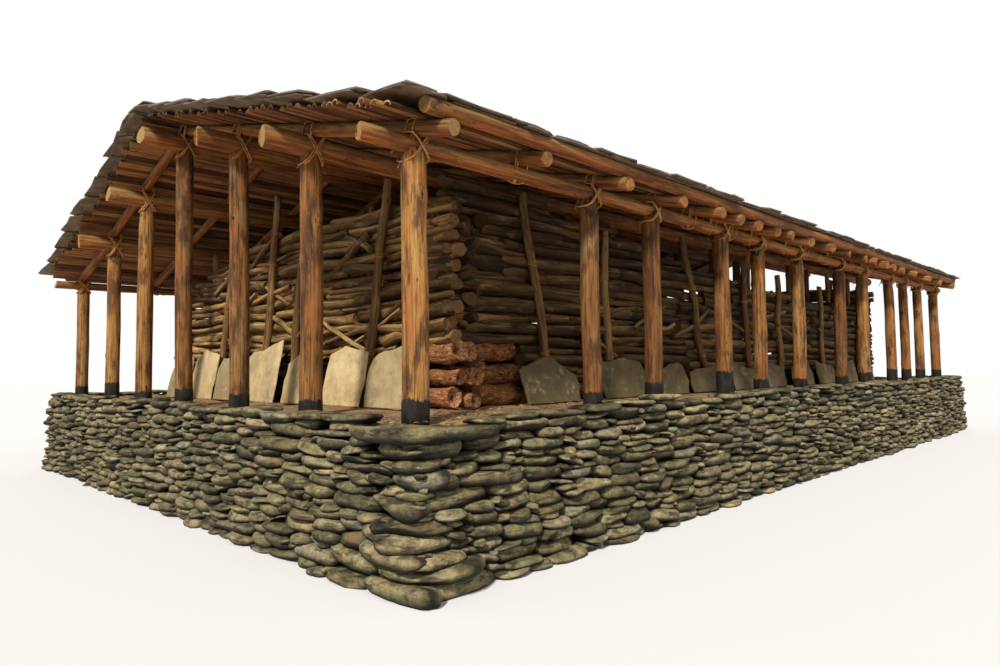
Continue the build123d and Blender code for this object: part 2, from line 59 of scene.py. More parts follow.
BACK_LOW = 1.738
SIDES = ((-1, "front"), (1, "back"))
SLOPE = {-1: math.atan2(RIDGE_LOW - FRONT_LOW, RIDGE_Y),
         1: math.atan2(RIDGE_LOW - BACK_LOW, DEPTH - RIDGE_Y)}
PURLINS = ["front_eave", "front_lower", "front_upper", "ridge", "back_upper", "back_lower", "back_eave"]
PURLIN_R = [0.062, 0.09, 0.09, 0.092, 0.09, 0.09, 0.055]
PURLIN_OVER = [0.44, 0.42, 0.41, 0.463, 0.43, 0.43, 0.36]
RAFTER_R = 0.055
POLE_R = 0.056
POLE_OVER = 0.17
DECK_LOW = 2 * SEAT + 2 * RAFTER_R
DECK_T = 0.038
DECK_OVER = 0.38
SLATE_T = 0.028
COURSES = 9
LAP = 0.11
VERGE = 0.5
RAFTER_REACH = {-1: RIDGE_Y + 0.38, 1: DEPTH - RIDGE_Y + 0.33}
POLE_REACH = {-1: RIDGE_Y + 0.33, 1: DEPTH + 0.33 - POLE_R - RIDGE_Y}
SLATE_REACH = {-1: RIDGE_Y + 0.43, 1: DEPTH - RIDGE_Y + 0.4}


def rafter_low(y):
    return EARTH + RIDGE_LOW - abs(RIDGE_Y - y) * math.tan(SLOPE[-1 if y <= RIDGE_Y else 1])


def purlin_z(line):
    return rafter_low(POST_Y[line]) - (PURLIN_R[line] + SEAT) / math.cos(SLOPE[-1 if line < 3 else 1])


def on_slope(side, along, above):
    """Point of the roof: along is the distance down from the ridge, above is square to the slope."""
    c, s = math.cos(SLOPE[side]), math.sin(SLOPE[side])
    y = RIDGE_Y + side * (along * c + above * s)
    return np.array([0.0, y, EARTH + RIDGE_LOW - along * s + above * c])


def slope_axes(side):
    """Unit vectors down the slope and square to it."""
    c, s = math.cos(SLOPE[side]), math.sin(SLOPE[side])
    return np.array([0, side * c, -s]), np.array([0, side * s, c])


# Meshes


class Shape:
    """Vertices, faces and the attributes that the materials read."""

    def __init__(self):
        self.v, self.q, self.t = [], [], []
        self.grain, self.tone, self.mark = [], [], []
        self.n = 0

    def add(self, v, q=(), t=(), grain=None, tone=0.5, mark=0.0):
        v = np.asarray(v, float)
        for faces, more in ((self.q, q), (self.t, t)):
            if len(more):
                faces.append(np.asarray(more, int) + self.n)
        self.v.append(v)
        self.grain.append(v if grain is None else grain)
        self.tone.append(np.broadcast_to(tone, len(v)))
        self.mark.append(np.broadcast_to(mark, len(v)))
        self.n += len(v)

    def add_own(self, rng, v, q, t, tone, mark=0.0):
        """Adds a piece at its own place in the pattern and, where none is given, with its own tone."""
        self.add(v, q, t, v + rng.uniform(0, 40, 3), rng.uniform() if tone is None else tone, mark)


def put(name, data):
    """A new object in the scene."""
    obj = bpy.data.objects.new(name, data)
    bpy.context.scene.collection.objects.link(obj)
    return obj


def build(name, shape, material, nodes=(), smooth=True):
    """Makes a shape into a piece on the one body, in the place of the named nodes."""
    points = np.concatenate(shape.v) - SHIFT
    quads = np.concatenate(shape.q)
    tris = np.concatenate(shape.t or [np.zeros((0, 3), int)])
    loops = np.concatenate([quads.ravel(), tris.ravel()]).astype(np.int32)
    starts = np.concatenate([np.arange(len(quads)) * 4, len(quads) * 4 + np.arange(len(tris)) * 3])
    mesh = bpy.data.meshes.new(name)
    mesh.vertices.add(len(points))
    mesh.vertices.foreach_set("co", points.astype(np.float32).ravel())
    mesh.loops.add(len(loops))
    mesh.loops.foreach_set("vertex_index", loops)
    mesh.polygons.add(len(starts))
    mesh.polygons.foreach_set("loop_start", starts.astype(np.int32))
    mesh.polygons.foreach_set("use_smooth", np.full(len(starts), smooth))
    for key, values in (("tone", shape.tone), ("mark", shape.mark)):
        data = mesh.attributes.new(key, "FLOAT", "POINT").data
        data.foreach_set("value", np.concatenate(values).astype(np.float32))
    data = mesh.attributes.new("grain", "FLOAT_VECTOR", "POINT").data
    data.foreach_set("vector", np.concatenate(shape.grain).astype(np.float32).ravel())
    mesh.update(calc_edges=True)
    mesh.validate()
    mesh.materials.append(material)
    obj = put(name, mesh)
    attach(obj, "root")
    if nodes:
        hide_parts(*nodes)


def unit(v):
    return v / np.linalg.norm(v, axis=-1, keepdims=True)


def phase(rng):
    return rng.uniform(0, 7)


def sway(rng, t, slow, fast):
    """A sine over t with a random pace and phase."""
    return np.sin(rng.uniform(slow, fast) * t + phase(rng))


def waves(rng, theta, u, amount, orders=(1, 2, 3), pace=4.0):
    """Lumps round a ring, which turn slowly along u."""
    total = 0
    for k in orders:
        total = total + np.sin(k * theta + rng.uniform(-pace, pace) * u + phase(rng)) / k
    return amount * total


def grid(rows, n, flip=False, wrap=True, loop=False):
    """Quads between rows of n points; wrap joins each row's ends, loop the last row to the first."""
    i, j = np.meshgrid(np.arange(rows if loop else rows - 1), np.arange(n if wrap else n - 1), indexing="ij")
    k, m = (j + 1) % n, (i + 1) % rows
    quads = np.stack([i * n + j, m * n + j, m * n + k, i * n + k], -1).reshape(-1, 4)
    return quads[:, [0, 3, 2, 1]] if flip else quads


def fans(rows, n):
    """Triangles that close rows of n points with a low and a high point, which come after them."""
    a = np.arange(n)
    b = (a + 1) % n
    last = (rows - 1) * n
    low, high = np.full(n, rows * n), np.full(n, rows * n + 1)
    return np.vstack([np.stack([low, b, a], -1), np.stack([high, last + a, last + b], -1)])


def crooked(rng, a, b, amount, points, waviness=2.0, flat=None):
    """A path from a to b that wanders by about amount; flat keeps one axis straight."""
    a, b = np.asarray(a, float), np.asarray(b, float)
    t = np.linspace(0, 1, points)[:, None]
    path = a + (b - a) * t
    for axis in [k for k in range(3) if k != flat]:
        for k in (1.0, 2.1, 3.7):
            path[:, axis:axis + 1] += amount * rng.normal() * 0.5 / k * np.sin(k * waviness * t + phase(rng))
    return path


def centre(path, point, axes, rows=slice(None)):
    """Moves a path so that the mean of some of its rows lies on point."""
    for axis in axes:
        path[:, axis] += point[axis] - path[rows, axis].mean()


def add_cap(shape, rng, ring, middle, inward, grain, tone, flip, hollow, sawn):
    """Closes the end of a log with a cut face or, where hollow is given, with a ragged hole."""
    n = len(ring)
    a = np.arange(n)
    b = (a + 1) % n
    pith = grain[0] * [1, 0, 0]
    if hollow:
        ragged = rng.uniform(0.55, 0.75, (n, 1))
        inner = middle + (ring - middle) * ragged + inward * hollow * rng.uniform(0.2, 1.0, (n, 1))
        points = np.vstack([ring, inner, middle + inward * hollow * 1.3])
        quads = np.stack([a, n + a, n + b, b], -1)
        tris = np.stack([np.full(n, 2 * n), n + b, n + a], -1)
        grain = np.vstack([grain, grain * [1, 0.65, 0.65], pith])
        # The rim takes the cut face's colour and the bottom of the hole is painted near black, painted shade
        # in the hole.
        mark = np.repeat([1.0, 0.4, -1.0], [n, n, 1])
    else:
        points = np.vstack([ring, middle])
        quads = np.zeros((0, 4), int)
        tris = np.stack([np.full(n, n), b, a], -1)
        grain = np.vstack([grain, pith])
        mark = sawn
    if flip:
        quads, tris = quads[:, ::-1], tris[:, ::-1]
    shape.add(points, quads, tris, grain, tone, mark)


LIP = 0.008


def add_log(shape, rng, path, radius, form, sides, rough, knots, tone=None, caps=(1, 1), pace=4.0,
            cut=0.012, paint=None, swell=None, extra=(), saddle=0.0, hollow=0.0, sawn=1.0):
    """A round log along a path, with lumps, knots and cut ends; form scales the radius along it.

    The mark is 1 on sawn wood and -1 where it is black. Paint adds to the mark and swell scales the
    radius; both read the distance along the log and the angle round it.
    """
    path = np.asarray(path, float)
    u0 = np.concatenate([[0], np.cumsum(np.linalg.norm(np.diff(path, axis=0), axis=1))])
    total = u0[-1]
    at = rng.uniform(0.04, 0.96, knots) * total
    turn = rng.uniform(0, 2 * np.pi, knots)
    u = np.concatenate([u0, [LIP, total - LIP], extra] + [at + d for d in (-0.04, -0.013, 0.013, 0.04)])
    u = np.unique(np.round(np.clip(u, 0, total), 3))
    path = np.stack([np.interp(u, u0, path[:, k]) for k in range(3)], -1)
    tangent = unit(np.gradient(path, u, axis=0))
    ref = np.array([0, 0, 1.0]) if abs(tangent[:, 2]).mean() < 0.7 else np.array([1.0, 0, 0])
    side = unit(np.cross(tangent, ref))
    over = np.cross(side, tangent)
    u = u[:, None]
    theta = np.linspace(0, 2 * np.pi, sides, endpoint=False)[None, :]
    radius = np.interp(u / total, np.linspace(0, 1, len(form)), radius * np.array(form, float))
    r = radius * (1 + waves(rng, theta, u, rough, pace=pace))
    mark = np.zeros_like(r)
    for k in range(knots):
        gap = np.angle(np.exp(1j * (theta - turn[k]))) * radius
        far = (u - at[k]) ** 2 + gap ** 2
        wide = rng.uniform(0.025, 0.045)
        r = r + rng.uniform(0.006, 0.016) * np.exp(-far / wide ** 2)
        r = r - 0.006 * np.exp(-far / (0.4 * wide) ** 2)
        mark -= rng.uniform(0.5, 1.0) * np.exp(-far / (0.45 * wide) ** 2)
    if swell:
        r = r * swell(u, theta)
    if paint:
        mark = mark + paint(u, theta)
    mark = np.clip(mark, -1, 1)
    r[[0, -1]] *= 0.92
    y, z = r * np.cos(theta), r * np.sin(theta)
    slant = np.zeros_like(r)
    for end in (0, -1):
        slant[end] = (y[end] * rng.uniform(-1, 1) + z[end] * rng.uniform(-0.5, 0.5)) * cut / radius[end]
    if saddle:
        lift = saddle - np.sqrt(np.maximum(saddle ** 2 - y[-1] ** 2, 0))
        slant[-1] = np.minimum(lift, 0.035) + rng.uniform(-0.004, 0.004, sides)
        slant[-2] = 0.5 * slant[-1]
    v = path[:, None] + y[..., None] * side[:, None] + z[..., None] * over[:, None]
    v = v + slant[..., None] * tangent[:, None]
    grain = np.stack([np.broadcast_to(u + rng.uniform(0, 300), r.shape), y, z], -1)
    tone = rng.uniform() if tone is None else tone
    shape.add(v.reshape(-1, 3), grid(len(path), sides), (), grain.reshape(-1, 3), tone, mark.ravel())
    for end in (0, -1):
        if caps[end]:
            middle = path[end] if saddle else v[end].mean(0)
            inward = tangent[end] * (-1 if end else 1)
            face = sawn if mark[end].mean() > -0.5 else -0.7
            add_cap(shape, rng, v[end], middle, inward, grain[end], tone, end < 0, hollow, face)


def add_stone(shape, rng, middle, along, out, size, turns=14, levels=6, tone=None, tilt=0.0, power=None,
              plan=None, lumps=0.08):
    """A river slab with a blunt nose, a wedge of a section and split facets.

    Its outline is a superellipse of the given power, or a ring of points given as plan. Its mark is
    painted shade in the joints: dark towards its lower face and its ends, and on its low cap.
    """
    along, out = unit(np.asarray(along, float)), unit(np.asarray(out, float))
    up = np.array([0, 0, 1.0])
    axis = unit(along * math.cos(tilt) + up * math.sin(tilt))
    lift = unit(up * math.cos(tilt) - along * math.sin(tilt))
    length, deep, thick = size
    if plan is None:
        theta = np.linspace(0, 2 * np.pi, turns, endpoint=False) + rng.uniform(0, 0.4)
        power = power or rng.uniform(2.2, 4.5)
        c, s = np.cos(theta), np.sin(theta)
        reach = (np.abs(c) ** power + np.abs(s) ** power) ** (-1 / power)
        reach = reach * (1 + waves(rng, theta, 0, 0.05, (2, 3, 5)))
        flat = np.stack([0.5 * length * reach * c, 0.5 * deep * reach * s], -1)
    else:
        flat = np.asarray(plan, float)
        theta = np.arctan2(flat[:, 1], flat[:, 0])
        c, s = np.cos(theta), np.sin(theta)
    n = len(flat)
    nose = min(thick * rng.uniform(0.35, 0.8), 0.25 * deep, 0.25 * length)
    wedge, bow, lean = rng.uniform(-0.34, 0.34), rng.uniform(-0.12, 0.12), rng.uniform(-0.45, 0.45) * nose
    under, over = waves(rng, theta, 0, lumps, (2, 3, 4)), waves(rng, theta, 0, lumps, (2, 3, 4))
    rows, joint_shade = [], []
    for h in np.sin(np.linspace(-math.pi / 2, math.pi / 2, levels)):
        inset = nose * (1 - math.sqrt(max(0.0, 1 - h * h))) - lean * h
        bump = over if h > 0 else under
        z = 0.5 * thick * (h * (1 + wedge * c) + abs(h) * bump + bow * np.cos(2 * theta))
        ring = np.stack([flat[:, 0] - inset * c, flat[:, 1] - inset * s, z], -1)
        rows.append(ring + rng.normal(0, 0.0018, (n, 3)))
        # Painted shade in the joints: dark towards the lower face and the ends, little on the upper face.
        joint_shade.append(np.clip(max(-h, 0.35 * h) ** 1.6 + 0.75 * np.abs(c) ** 10, 0, 1))
    v = np.vstack(rows + [[[0, 0, -0.5 * thick], [0, 0, 0.5 * thick]]])
    for _ in range(3):
        way = np.array([rng.uniform(-1, 1), rng.choice([-0.4, 1.0]), rng.uniform(-1.1, 1.1)])
        way = unit(way / [length, deep, thick * 2.2])
        far = v @ way
        v = v - np.outer(np.maximum(far - rng.uniform(0.72, 0.95) * far.max(), 0), way)
    quads, tris = grid(levels, n, flip=True), fans(levels, n)
    if np.cross(axis, out) @ lift < 0:
        quads, tris = quads[:, ::-1], tris[:, ::-1]
    v = middle + v[:, :1] * axis + v[:, 1:2] * out + v[:, 2:] * lift
    v[:, 2] = np.maximum(v[:, 2], 0.002)
    shape.add_own(rng, v, quads, tris, tone, np.append(np.array(joint_shade).ravel(), [1.0, 0.1]))


def add_plate(shape, rng, outline, thick, origin, ax, ay, ragged=0.006, tone=None, sag=0.0):
    """A split plate: outline in its own plane, broken edges with loose layers, mark 1 on the edges."""
    origin, ax, ay = (np.asarray(p, float) for p in (origin, ax, ay))
    normal = unit(np.cross(ax, ay))
    outline = np.asarray(outline, float)
    middle = outline.mean(0)
    n = len(outline)
    rows = []
    for h, scale in ((0.0, 0.975), (0.3, 1.0), (0.72, 0.995), (1.0, 0.97)):
        ring = middle + (outline - middle) * scale + rng.uniform(-ragged, ragged, outline.shape)
        lift = h * thick + rng.uniform(-0.08, 0.08, n) * thick * (0 < h < 1)
        bow = sag * ((ring - middle) ** 2).sum(1)
        rows.append(origin + ring[:, :1] * ax + ring[:, 1:] * ay + (lift - bow)[:, None] * normal)
    low = origin + middle[0] * ax + middle[1] * ay
    v = np.vstack(rows + [low, low + thick * normal])
    mark = np.repeat([0.0, 1.0, 0.0], [n, 2 * n, n + 2])
    shape.add_own(rng, v, grid(len(rows), n, flip=True), fans(len(rows), n), tone, mark)


def broken_rectangle(rng, x0, x1, y0, y1, chip, corner=0.12):
    """Outline of a split slab: nearly straight sides, knocked corners."""
    most = min(corner, 0.3 * (x1 - x0), 0.3 * (y1 - y0))
    out = []
    for x, y, dx, dy in ((x0, y0, 1, 1), (x1, y0, -1, 1), (x1, y1, -1, -1), (x0, y1, 1, -1)):
        a, b = rng.uniform(0.06, 1.0, 2) * most
        first, second = (x, y + dy * b), (x + dx * a, y)
        out += [first, second] if dx == dy else [second, first]
    full = []
    for i, p in enumerate(out):
        full.append(p)
        if i % 2:
            q, f = out[(i + 1) % len(out)], rng.uniform(0.35, 0.65)
            full.append((p[0] + (q[0] - p[0]) * f, p[1] + (q[1] - p[1]) * f))
    full = np.array(full)
    return full + rng.uniform(-chip, chip, full.shape)


def add_tube(shape, rng, path, radius, closed=False, sides=4):
    """A thin strand along a path; closed joins its ends."""
    path = np.asarray(path, float)
    if closed:
        tangent = unit(np.roll(path, -1, 0) - np.roll(path, 1, 0))
    else:
        tangent = unit(np.gradient(path, axis=0))
    side = unit(np.cross(tangent, [0.31, 0.52, 0.79]))
    over = np.cross(side, tangent)
    theta = np.linspace(0, 2 * np.pi, sides, endpoint=False)
    ring = np.cos(theta)[None, :, None] * side[:, None] + np.sin(theta)[None, :, None] * over[:, None]
    v = path[:, None] + radius * ring
    tris = ()
    if not closed:
        a = np.arange(1, sides - 1)
        last = (len(path) - 1) * sides
        tris = np.vstack([np.stack([0 * a, a, a + 1], -1), last + np.stack([0 * a, a + 1, a], -1)])
    shape.add(v.reshape(-1, 3), grid(len(path), sides, loop=closed), tris, tone=rng.uniform())


def add_box(shape, low, high):
    (x0, y0, z0), (x1, y1, z1) = low, high
    v = [(x, y, z) for z in (z0, z1) for x, y in ((x0, y0), (x1, y0), (x1, y1), (x0, y1))]
    shape.add(v, [(0, 3, 2, 1), (4, 5, 6, 7), (0, 1, 5, 4), (1, 2, 6, 5), (2, 3, 7, 6), (3, 0, 4, 7)])


# Materials


class Nodes:
    """Short hand for a material's node tree; grain, tone and mark are attributes of the mesh."""

    def __init__(self, name):
        self.mat = bpy.data.materials.new(name)
        self.mat.use_nodes = True
        self.tree = self.mat.node_tree
        self.bsdf = self.tree.nodes["Principled BSDF"]
        self.grain = self.attribute("grain", "Vector")
        self.tone = self.attribute("tone", "Fac")
        self.mark = self.attribute("mark", "Fac")

    def attribute(self, name, output):
        n = self.node("ShaderNodeAttribute")
        n.attribute_name = name
        return n.outputs[output]

    def node(self, kind, **inputs):
        n = self.tree.nodes.new(kind)
        for key, value in inputs.items():
            n.inputs[key].default_value = value
        return n

    def link(self, a, b):
        self.tree.links.new(a, b)

    def feed(self, socket, value):
        """Links an output to a socket, or sets a number or a colour on it."""
        if hasattr(value, "is_linked"):
            self.link(value, socket)
        else:
            socket.default_value = (*value, 1) if isinstance(value, tuple) else value

    def stretched(self, scale):
        n = self.node("ShaderNodeMapping", Scale=scale)
        self.link(self.grain, n.inputs["Vector"])
        return n.outputs["Vector"]

    def noise(self, scale, detail=4.0, rough=0.55, distortion=0.0):
        """Noise over the grain; scale is one number, or three for a stretched one."""
        place, even = (self.stretched(scale), 1.0) if isinstance(scale, tuple) else (self.grain, scale)
        n = self.node("ShaderNodeTexNoise", Scale=even, Detail=detail, Roughness=rough,
                      Distortion=distortion)
        self.link(place, n.inputs["Vector"])
        return n.outputs["Fac"]

    def cells(self, stretch, scale, output="Distance"):
        n = self.node("ShaderNodeTexVoronoi", Scale=scale)
        self.link(self.stretched(stretch), n.inputs["Vector"])
        return n.outputs[output]

    def half_up(self):
        """Half of the world normal's z: 0.5 on top, -0.5 below."""
        n = self.node("ShaderNodeSeparateXYZ")
        self.link(self.node("ShaderNodeNewGeometry").outputs["Normal"], n.inputs[0])
        return self.mul(n.outputs["Z"], 0.5)

    def ramp(self, value, stops):
        n = self.node("ShaderNodeValToRGB")
        e = n.color_ramp.elements
        while len(e) < len(stops):
            e.new(0.5)
        for item, (at, colour) in zip(e, stops):
            item.position = at
            item.color = (*colour, 1)
        self.link(value, n.inputs["Fac"])
        return n.outputs["Color"]

    def fade(self, value, low, high, first=0.0, last=1.0):
        """A ramp from one grey to another."""
        return self.ramp(value, [(low, (first,) * 3), (high, (last,) * 3)])

    def mix(self, a, b, amount, mode="MIX"):
        n = self.node("ShaderNodeMix")
        n.data_type = "RGBA"
        n.blend_type = mode
        self.feed(n.inputs[6], a)
        self.feed(n.inputs[7], b)
        self.feed(n.inputs[0], amount)
        return n.outputs[2]

    def tint(self, a, b, amount=1.0):
        return self.mix(a, b, amount, "MULTIPLY")

    def patch(self, base, colour, scale, low, high, amount, detail=5):
        """Mixes a colour in where a noise runs high."""
        cover = self.fade(self.noise(scale, detail, 0.65), low, high)
        return self.mix(base, colour, self.mul(cover, amount))

    def math(self, op, a, b=0.0, clamp=False):
        n = self.node("ShaderNodeMath")
        n.operation = op
        n.use_clamp = clamp
        self.feed(n.inputs[0], a)
        self.feed(n.inputs[1], b)
        return n.outputs[0]

    def add(self, a, b):
        return self.math("ADD", a, b)

    def mul(self, a, b, clamp=False):
        return self.math("MULTIPLY", a, b, clamp)

    def rag(self, noise, amount):
        """A noise about zero."""
        return self.mul(self.add(noise, -0.5), amount)

    def finish(self, colour, height, strength, distance, rough, spec=0.25):
        bump = self.node("ShaderNodeBump", Strength=strength, Distance=distance)
        self.link(height, bump.inputs["Height"])
        self.link(bump.outputs["Normal"], self.bsdf.inputs["Normal"])
        self.link(colour, self.bsdf.inputs["Base Color"])
        self.bsdf.inputs["Roughness"].default_value = rough
        self.bsdf.inputs["Specular IOR Level"].default_value = spec
        return self.mat


def stone_material():
    m = Nodes("river_stone")
    base = m.ramp(m.tone, [(0, (0.06, 0.05, 0.03)), (0.3, (0.12, 0.098, 0.055)),
                           (0.5, (0.17, 0.145, 0.085)), (0.75, (0.23, 0.18, 0.105)),
                           (0.9, (0.17, 0.155, 0.115)), (1, (0.33, 0.25, 0.15))])
    base = m.tint(base, m.fade(m.noise(12, 6, 0.68), 0.34, 0.64, 0.16, 1.2), 0.95)
    base = m.patch(base, (0.24, 0.145, 0.07), (4, 4, 7), 0.52, 0.68, 0.4)
    base = m.patch(base, (0.1, 0.115, 0.04), (6, 6, 9), 0.5, 0.66, 0.5)
    base = m.patch(base, (0.35, 0.33, 0.26), (26, 26, 40), 0.6, 0.72, 0.4, 3)
    base = m.patch(base, (0.035, 0.032, 0.026), (9, 9, 50), 0.55, 0.68, 0.6)
    # Painted light and shade by facing: the undersides are darkened and the tops brightened past the stone's
    # own colour.
    light = m.ramp(m.add(m.half_up(), 0.5), [(0.14, (0.08, 0.08, 0.07)), (0.38, (0.55, 0.55, 0.5)),
                                             (0.6, (1.12, 1.12, 1.0)), (0.85, (1.4, 1.4, 1.24))])
    # Painted shade in the joints, from the mark with a little noise; where it is low the stone is brightened
    # a little.
    joint_shade = m.add(m.mark, m.rag(m.noise(16), 0.5))
    base = m.tint(m.tint(base, light), m.ramp(joint_shade, [(0.2, (1.15, 1.15, 1.15)), (0.75, (0.16, 0.15, 0.13))]))
    beds = m.noise((4.5, 4.5, 26), 4, 0.6, 0.4)
    base = m.tint(base, m.fade(beds, 0.37, 0.48, 0.2, 1.05), 0.85)
    height = m.add(m.mul(m.noise((5, 5, 85), 5, 0.65), 0.7), m.mul(m.noise(24, 6, 0.7), 0.9))
    return m.finish(base, m.add(height, m.mul(beds, 1.3)), 0.9, 0.02, 0.8)


def earth_material():
    m = Nodes("earth")
    base = m.ramp(m.noise(3.2, 6, 0.65),
                  [(0.3, (0.13, 0.08, 0.045)), (0.5, (0.25, 0.16, 0.085)), (0.7, (0.38, 0.265, 0.15))])
    leaf = m.ramp(m.cells((1, 1.6, 1), 26, "Color"),
                  [(0.2, (0.1, 0.05, 0.025)), (0.5, (0.32, 0.17, 0.08)), (0.8, (0.5, 0.34, 0.18))])
    base = m.mix(base, leaf, m.mul(m.fade(m.noise(5), 0.4, 0.56), 0.75))
    return m.finish(base, m.add(m.cells((1, 1.6, 1), 26), m.noise(60)), 0.7, 0.014, 0.95, 0.15)


def wood_material(name, colours, patches, end, under=None, over=None, crack=0.55, strength=0.55, shade=None):
    """Grain that follows each log, with patches, cracks, knots, sawn ends, and black for tar and for painted
    shadow on the posts' heads.

    Under and over are the colours of the sides that face down and up; shade is the tone's range.
    """
    m = Nodes(name)
    fibre = m.noise((1.4, 30, 30), 5, 0.62, 0.5)
    base = m.ramp(m.add(m.mul(fibre, 0.8), m.mul(m.tone, 0.24)), colours)
    # Colours by facing, down and up; on the stacked logs the dark under colour is painted shade and the pale
    # over colour painted light.
    if under:
        height = m.add(m.add(m.half_up(), m.rag(m.noise((2, 9, 9)), 0.9)), 0.5)
        under = m.tint(under, m.fade(fibre, 0.35, 0.65, 0.35, 1.25))
        base = m.mix(base, under, m.mul(m.fade(height, 0.18, 0.5, 1, 0), 0.8))
        over = m.tint(over, m.fade(fibre, 0.35, 0.65, 0.5, 1.2))
        base = m.mix(base, over, m.mul(m.fade(height, 0.5, 0.8), 0.75))
    for item in patches:
        base = m.patch(base, *item)
    base = m.tint(base, m.fade(m.noise((2.6, 75, 75), 4, 0.7), 0.32, 0.6, 0.45, 1.08), 0.8)
    check = m.fade(m.noise((0.9, 48, 48), 3, 0.75, 0.7), 0.35, 0.41, 1, 0)
    base = m.mix(base, (0.022, 0.013, 0.009), m.mul(check, crack))
    dots = m.fade(m.cells((7, 16, 16), 1.0), 0.08, 0.15, 1, 0)
    base = m.mix(base, (0.03, 0.017, 0.011), m.mul(dots, 0.7))
    from_pith = m.node("ShaderNodeVectorMath")
    from_pith.operation = "LENGTH"
    m.link(m.stretched((0, 1, 1)), from_pith.inputs[0])
    rough = m.noise((0, 30, 30), 4, 0.6)
    ring = m.math("SINE", m.add(m.mul(from_pith.outputs["Value"], 620), m.mul(rough, 9)))
    ring = m.fade(m.add(m.mul(ring, 0.2), m.mul(rough, 0.8)), 0.3, 0.75)
    sawn = m.mix(end, tuple(c * 0.42 for c in end), ring)
    base = m.mix(base, sawn, m.math("MAXIMUM", m.mark, 0.0, True))
    black = m.mul(m.mark, -1.0, True)
    partly = m.mul(m.mul(black, 4.0), m.add(m.mul(black, -1.0), 1.0))
    rag = m.rag(m.noise((16, 26, 26), 4, 0.65), 2.2)
    black = m.fade(m.add(black, m.mul(rag, partly)), 0.36, 0.6)
    # Near black: the tar, and painted shadow where the posts' heads are marked.
    tar_and_painted_shadow = m.ramp(m.noise((6, 20, 20), 5, 0.65),
                 [(0.36, (0.006, 0.006, 0.007)), (0.66, (0.03, 0.029, 0.031))])
    base = m.tint(m.mix(base, tar_and_painted_shadow, black), (1.05, 0.95, 0.7))
    # Brightness over the tone; on the stacked logs the tone is set per wall, which paints light and shade.
    if shade:
        base = m.tint(base, m.fade(m.tone, 0, 1, *shade))
    height = m.add(m.mul(fibre, 0.6), m.mul(m.noise((6, 60, 60)), 0.4))
    return m.finish(base, m.add(height, m.mul(check, -0.6)), strength, 0.01, 0.75, 0.18)


def slate_material():
    m = Nodes("slate")
    base = m.ramp(m.tone, [(0, (0.045, 0.04, 0.035)), (0.4, (0.078, 0.07, 0.058)),
                           (0.75, (0.115, 0.1, 0.08)), (1, (0.18, 0.15, 0.11))])
    base = m.tint(base, m.fade(m.noise(9, 6, 0.65), 0.3, 0.65, 0.35, 1.05), 0.8)
    low = m.fade(m.add(m.half_up(), 0.5), 0.25, 0.45, 1, 0)
    brown = m.tint((0.19, 0.11, 0.052), m.fade(m.noise(7, 5), 0.35, 0.65, 0.4, 1.1))
    base = m.mix(base, brown, m.mul(low, 0.8))
    base = m.patch(base, (0.25, 0.22, 0.165), (6, 6, 6), 0.56, 0.68, 0.4)
    # Paler where the mark is high, on the broken edges: painted highlight.
    base = m.mix(base, (0.19, 0.145, 0.1), m.mul(m.mark, 0.4))
    height = m.add(m.mul(m.noise((4, 4, 90), 4, 0.6), 0.6), m.noise(30, 5))
    return m.finish(base, height, 0.6, 0.012, 0.75, 0.35)


def slab_material():
    m = Nodes("pale_slab")
    # The tone, set per side of the house, gives lit and shaded copies: painted light and shade.
    base = m.ramp(m.tone, [(0, (0.095, 0.082, 0.038)), (0.4, (0.15, 0.124, 0.06)), (1, (0.6, 0.46, 0.24))])
    base = m.tint(base, m.fade(m.noise(4, 6, 0.68), 0.3, 0.65, 0.5, 1.1), 0.8)
    base = m.patch(base, (0.27, 0.145, 0.06), (3, 3, 3), 0.5, 0.68, 0.5)
    base = m.patch(base, (0.07, 0.065, 0.05), (5, 5, 5), 0.56, 0.7, 0.6)
    base = m.patch(base, (0.56, 0.48, 0.3), (7, 7, 7), 0.58, 0.72, 0.45)
    height = m.add(m.noise(6, 6, 0.6), m.mul(m.noise(38, 4, 0.6), 0.35))
    return m.finish(base, height, 0.7, 0.016, 0.8, 0.3)


def fern_material():
    m = Nodes("tree_fern")
    fibre = m.noise((9, 34, 34), 6, 0.75, 1.2)
    base = m.ramp(m.add(m.mul(fibre, 0.85), m.mul(m.tone, 0.15)),
                  [(0.36, (0.04, 0.016, 0.008)), (0.5, (0.32, 0.13, 0.05)), (0.66, (0.78, 0.4, 0.18))])
    spots = m.fade(m.noise((14, 45, 45), 5, 0.7), 0.42, 0.58)
    rim = m.mix((0.66, 0.36, 0.19), (0.16, 0.06, 0.026), spots)
    base = m.mix(base, rim, m.math("MAXIMUM", m.mark, 0.0, True))
    # Near black where the mark is negative: the knots, and painted shade at the bottom of the hollow ends.
    base = m.mix(base, (0.014, 0.007, 0.005), m.mul(m.mark, -1.0, True))
    return m.finish(base, fibre, 1.0, 0.03, 0.92, 0.12)


def core_material():
    m = Nodes("rubble_core_painted_shade")
    # Near black: painted shade that shows through the gaps between the stones.
    base = m.ramp(m.noise(20, 5), [(0.35, (0.012, 0.01, 0.007)), (0.65, (0.035, 0.028, 0.018))])
    return m.finish(base, m.noise(30), 0.6, 0.02, 0.95, 0.1)


